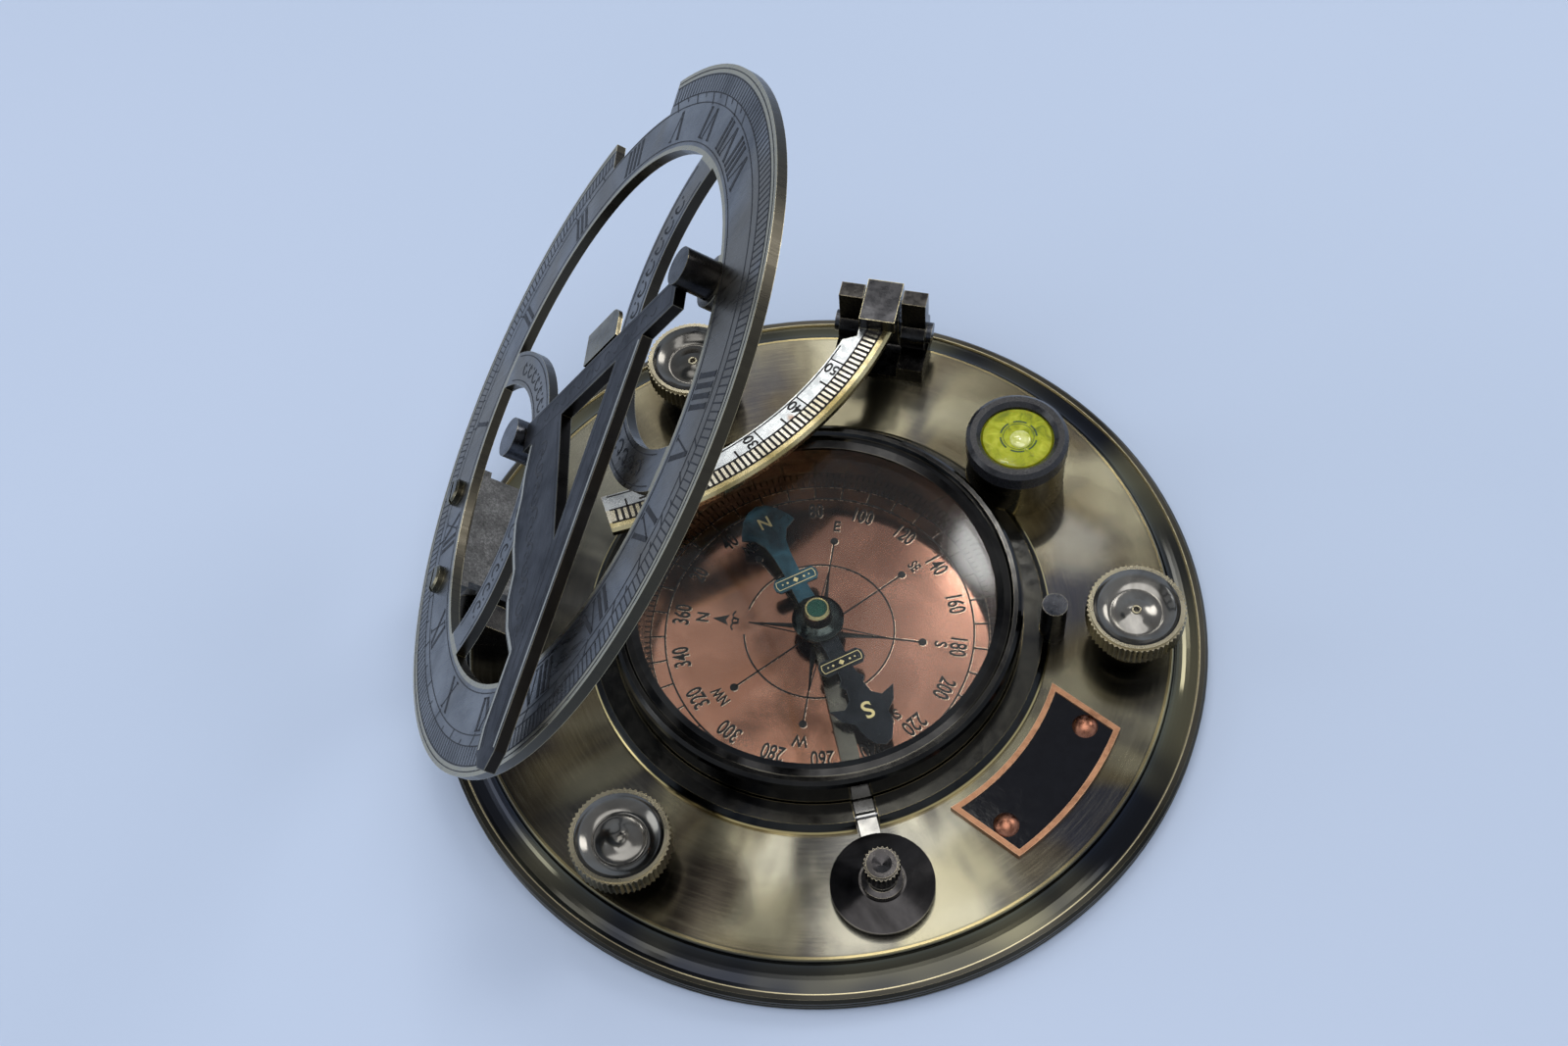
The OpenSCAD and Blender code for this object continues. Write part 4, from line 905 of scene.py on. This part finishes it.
def gnomon_art():
    o = RING_C + N * (GNOMON_N + GNOMON_HALF_T + 0.02)
    art = Art("gnomon_engraving", "gnomon", dark_ink, "ring", o, U, V)
    rim = Art("gnomon_worn_edge", "gnomon", worn_ink, "ring", o, U, V)
    wave = [(-5.7, -4.2), (-5.95, -9), (-5.45, -13), (-5.8, -17), (-4.6, -21.4), (-2.6, -26), (-2.75, -30.4),
            (-1.0, -35.3), (2.0, -39.8), (-0.2, -44.6), (-2.3, -49.1), (-2.7, -52.1)]
    rim.path([(x + 0.12, y) for x, y in wave], 0.62)
    rim.path([(26.55, -4.0), (2.55, -53.4)], 0.5)
    art.path([(x + 0.75, y) for x, y in wave], 0.17)
    art.path([(x + 1.35, y) for x, y in wave], 0.12)
    for dx in (-1.1, -1.8):
        art.path([(26.6 + dx, -4.0), (3.6 + dx, -51.2)], 0.15)
    art.path([(21.2, -3.9), (11.1, -26.4), (3.6, -43.0)], 0.15)
    art.path([(3.1, -4.6), (9.2, -26.6), (4.6, -38.0)], 0.15)
    # A running leaf scroll
    for i in range(11):
        y = -7.2 - 2.9 * i
        x = -0.9 + 0.36 * i
        s = 1 if i % 2 else -1
        art.arc((x, y), 1.25, 0.34, 100 if s > 0 else -80, 300 if s > 0 else 120, 12)
        art.arc((x + 0.35 * s, y - 0.5), 0.6, 0.28, -60, 170, 9)
        art.disc((x - 0.2 * s, y - 1.65), 0.26, 8)
    art.path([(-5.0, -0.6), (-5.0, 0.35), (34.6, 0.35), (34.6, -3.0), (-5.0, -3.0), (-5.0, -2.0)], 0.15)
    for i in range(13):
        x = -1.5 + 2.6 * i
        art.arc((x, -1.3), 0.75, 0.22, 20 if i % 2 else 200, 190 if i % 2 else 370, 8)
    art.build()
    rim.build()


def needle_art():
    ey = Vector((math.cos(NEEDLE_AZ), math.sin(NEEDLE_AZ), 0))
    ex = Vector((ey.y, -ey.x, 0))
    art = Art("needle_gilding", "needle", gold_ink, "blued", (0, 0, BLADE_TOP + 0.03), ex, ey)
    art.text("N", (0, 20.7), 3.2, 0, 0.9, 0.05)
    art.text("S", (0, -18.2), 4.2, 180, 0.95, 0.06)
    for y in (8.5, -8.8):
        pts = [(3.3, y - 0.8), (3.5, y), (3.3, y + 0.8), (-3.3, y + 0.8), (-3.5, y), (-3.3, y - 0.8)]
        art.path(pts, 0.12, True)
        art.poly([(0, y + 0.5), (0.5, y), (0, y - 0.5), (-0.5, y)])
        for k in (-1, 1):
            art.disc((1.5 * k, y), 0.2, 10)
            art.disc((2.4 * k, y), 0.15, 10)
    art.build()


def bubble_art():
    o = Vector((BUBBLE.x, BUBBLE.y, VIAL_TOP + 0.02))
    art = Art("vial_marks", "base", ink("vial_mark", (0.02, 0.05, 0.006), 0.3, 0.0), "vial", o)
    centre = (0.2, 0.3)
    for a in range(0, 360, 60):
        art.arc(centre, 3.0, 0.3, a + 6, a + 50, 10)
    art.arc(centre, 2.55, 0.10, 0, 360, 40)
    art.build()


def lathe(name, body, mat, profile, centre, seg=64):
    """A smooth skin: the profile of (radius, height) points turned round an upright axis."""
    verts, faces = [], []
    n = len(profile)
    for i in range(seg):
        a = 2 * math.pi * i / seg
        for r, z in profile:
            verts.append(tuple((Vector(centre) + Vector((r * math.cos(a), r * math.sin(a), z))) * MM))
    for i in range(seg):
        j = (i + 1) % seg
        for k in range(n - 1):
            faces.append((i * n + k, j * n + k, j * n + k + 1, i * n + k + 1))
    mesh = bpy.data.meshes.new(name)
    mesh.from_pydata(verts, [], faces)
    mesh.materials.append(mat)
    for p in mesh.polygons:
        p.use_smooth = True
    obj = bpy.data.objects.new(name, mesh)
    bpy.context.scene.collection.objects.link(obj)
    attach(obj, body)


def torus_profile(r, t, z):
    turns = [2 * math.pi * i / 12 for i in range(13)]
    return [(r + t * math.cos(a), z + t * math.sin(a)) for a in turns]


def smooth(points, steps=5):
    """A Catmull-Rom curve through the points."""
    pts = [Vector(p) for p in points]
    pts = [2 * pts[0] - pts[1]] + pts + [2 * pts[-1] - pts[-2]]
    out = []
    for a, b, c, d in zip(pts, pts[1:], pts[2:], pts[3:]):
        for i in range(steps):
            t = i / steps
            out.append(0.5 * (2 * b + (c - a) * t + (2 * a - 5 * b + 4 * c - d) * t ** 2
                              + (3 * b - 3 * c + d - a) * t ** 3))
    return [tuple(p) for p in out + [pts[-2]]]


# The screws' dished tops: radius and height of a smooth skin over the turned cones
DISH = [(0.45, 15.12), (1.0, 15.05), (1.8, 14.84), (2.7, 14.50), (3.5, 14.27), (4.2, 14.20), (4.9, 14.42),
        (5.6, 14.80), (6.2, 15.20), (6.6, 15.72), (6.82, 15.99)]


def small_rings():
    dish = turned("screw_dish", (0.09, 0.086, 0.078), (0.24, 0.23, 0.21), (), (0.12, 0.20), edge_mm=0,
                  lines=3.0, bump=0.03)
    for i in range(3):
        lathe("screw_dish_%d" % (i + 1), "levelling_screw_%d" % (i + 1), dish, smooth(DISH),
              SCREWS[i], 96)
    for i in (0, 1):
        lathe("screw_eyelet_%d" % (i + 1), "levelling_screw_%d" % (i + 1), bright,
              torus_profile(0.62, 0.2, 15.18), SCREWS[i])
    # Painted highlight: the air bubble is painted a paler yellow than the liquid round it
    bub = Kit("bubble_air", 0.0, 0.05)
    n = bub.noise(bub.mm(), 0.8, 3)
    bub.set("Base Color", bub.ramp(n, [(0.3, (0.52, 0.55, 0.05)), (0.7, (0.82, 0.84, 0.34))]))
    bub.bsdf.inputs["Coat Weight"].default_value = 1.0
    turns = [i * math.pi / 20 for i in range(11)]
    prof = [(1.75 * math.sin(t), VIAL_TOP + 0.45 * math.cos(t)) for t in turns]
    lathe("vial_bubble", "base", bub.mat, prof, (BUBBLE.x + 0.5, BUBBLE.y - 0.2, 0))


dial_art()
ring_art()
arc_art()
gnomon_art()
needle_art()
bubble_art()
small_rings()


# Floor, light and sky: a dim dome, pale at the horizon, and soft boxes on a sphere round the object, each
# with azimuth, elevation, size in metres, radiance and colour
LIGHT_R = 0.9
BACKDROP = (0.505, 0.605, 0.79, 1)
SKY = [(0.0, (0.53, 0.62, 0.78)), (0.45, (0.48, 0.52, 0.58)), (0.9, (0.40, 0.405, 0.42))]
SOFTBOXES = [
    ("softbox_high", 101, 72, (0.19, 0.09), 6.0, (1.0, 0.98, 0.92)),
    ("softbox_back", 100, 51, (0.26, 0.08), 5.0, (1.0, 0.98, 0.94)),
    ("softbox_spot", 86.0, 59.1, (0.046, 0.050), 15.0, (1.0, 0.99, 0.97)),
    ("softbox_haze", 88, 63, (0.13, 0.10), 0.45, (1.0, 0.99, 0.98)),
    ("softbox_right", 38, 34, (0.34, 0.28), 5.0, (1.0, 0.98, 0.95)),
    ("softbox_left", 190, 30, (0.50, 0.38), 2.6, (0.94, 0.97, 1.0)),
    ("softbox_top", -88, 84, (0.90, 0.68), 2.0, (0.99, 0.99, 1.0)),
]


def stage():
    mesh = bpy.data.meshes.new("floor")
    s = 4.0
    mesh.from_pydata([(-s, -s, 0), (s, -s, 0), (s, s, 0), (-s, s, 0)], [], [(0, 1, 2, 3)])
    k = Kit("floor_pale", 0.0, 0.6)
    tone = k.noise(k.mm(), 0.004, 2)
    k.set("Base Color", k.ramp(tone, [(0.3, (0.50, 0.595, 0.76)), (0.7, (0.53, 0.62, 0.79))]))
    # Far out, the floor runs into the sky's own colour, so that no horizon shows
    far = k.tree.nodes.new("ShaderNodeEmission")
    far.inputs[0].default_value = BACKDROP
    path = k.tree.nodes.new("ShaderNodeLightPath").outputs
    seen = k.math("MAXIMUM", path["Is Camera Ray"],
                  k.math("MAXIMUM", path["Is Glossy Ray"], path["Is Transmission Ray"]))
    x, y, _ = k.xyz(k.mm())
    fade = k.mul(k.step(k.radius(x, y), 180.0, 800.0), seen)
    k.blend(fade, k.bsdf.outputs[0], far.outputs[0])
    mesh.materials.append(k.mat)
    floor = bpy.data.objects.new("floor", mesh)
    bpy.context.scene.collection.objects.link(floor)
    floor.location.z = -0.0001

    world = bpy.data.worlds.new("studio")
    bpy.context.scene.world = world
    world.use_nodes = True
    t = world.node_tree
    t.nodes.clear()
    out = t.nodes.new("ShaderNodeOutputWorld")
    bg = t.nodes.new("ShaderNodeBackground")
    tc = t.nodes.new("ShaderNodeTexCoord")
    sep = t.nodes.new("ShaderNodeSeparateXYZ")
    ramp = t.nodes.new("ShaderNodeValToRGB")
    els = ramp.color_ramp.elements
    els.new(0.5)
    for e, (pos, col) in zip(els, SKY):
        e.position = pos
        e.color = (*col, 1)
    t.links.new(tc.outputs["Generated"], sep.inputs[0])
    t.links.new(sep.outputs[2], ramp.inputs[0])
    t.links.new(ramp.outputs[0], bg.inputs[0])
    plain = t.nodes.new("ShaderNodeBackground")
    plain.inputs[0].default_value = BACKDROP
    looked_at = t.nodes.new("ShaderNodeLightPath").outputs["Is Camera Ray"]
    which = t.nodes.new("ShaderNodeMixShader")
    for i, sock in enumerate((looked_at, bg.outputs[0], plain.outputs[0])):
        t.links.new(sock, which.inputs[i])
    t.links.new(which.outputs[0], out.inputs[0])
    for name, az, el, size, radiance, colour in SOFTBOXES:
        data = bpy.data.lights.new(name, "AREA")
        data.shape = "ELLIPSE"
        data.size, data.size_y = size
        data.energy = radiance * math.pi * size[0] * size[1] * math.pi / 4
        data.color = colour
        obj = bpy.data.objects.new(name, data)
        bpy.context.scene.collection.objects.link(obj)
        flat = math.cos(el * D)
        at = Vector((math.cos(az * D) * flat, math.sin(az * D) * flat, math.sin(el * D)))
        obj.location = at * LIGHT_R
        obj.rotation_euler = (-at).to_track_quat("-Z", "Y").to_euler()


stage()
bpy.context.scene.view_settings.view_transform = "Standard"
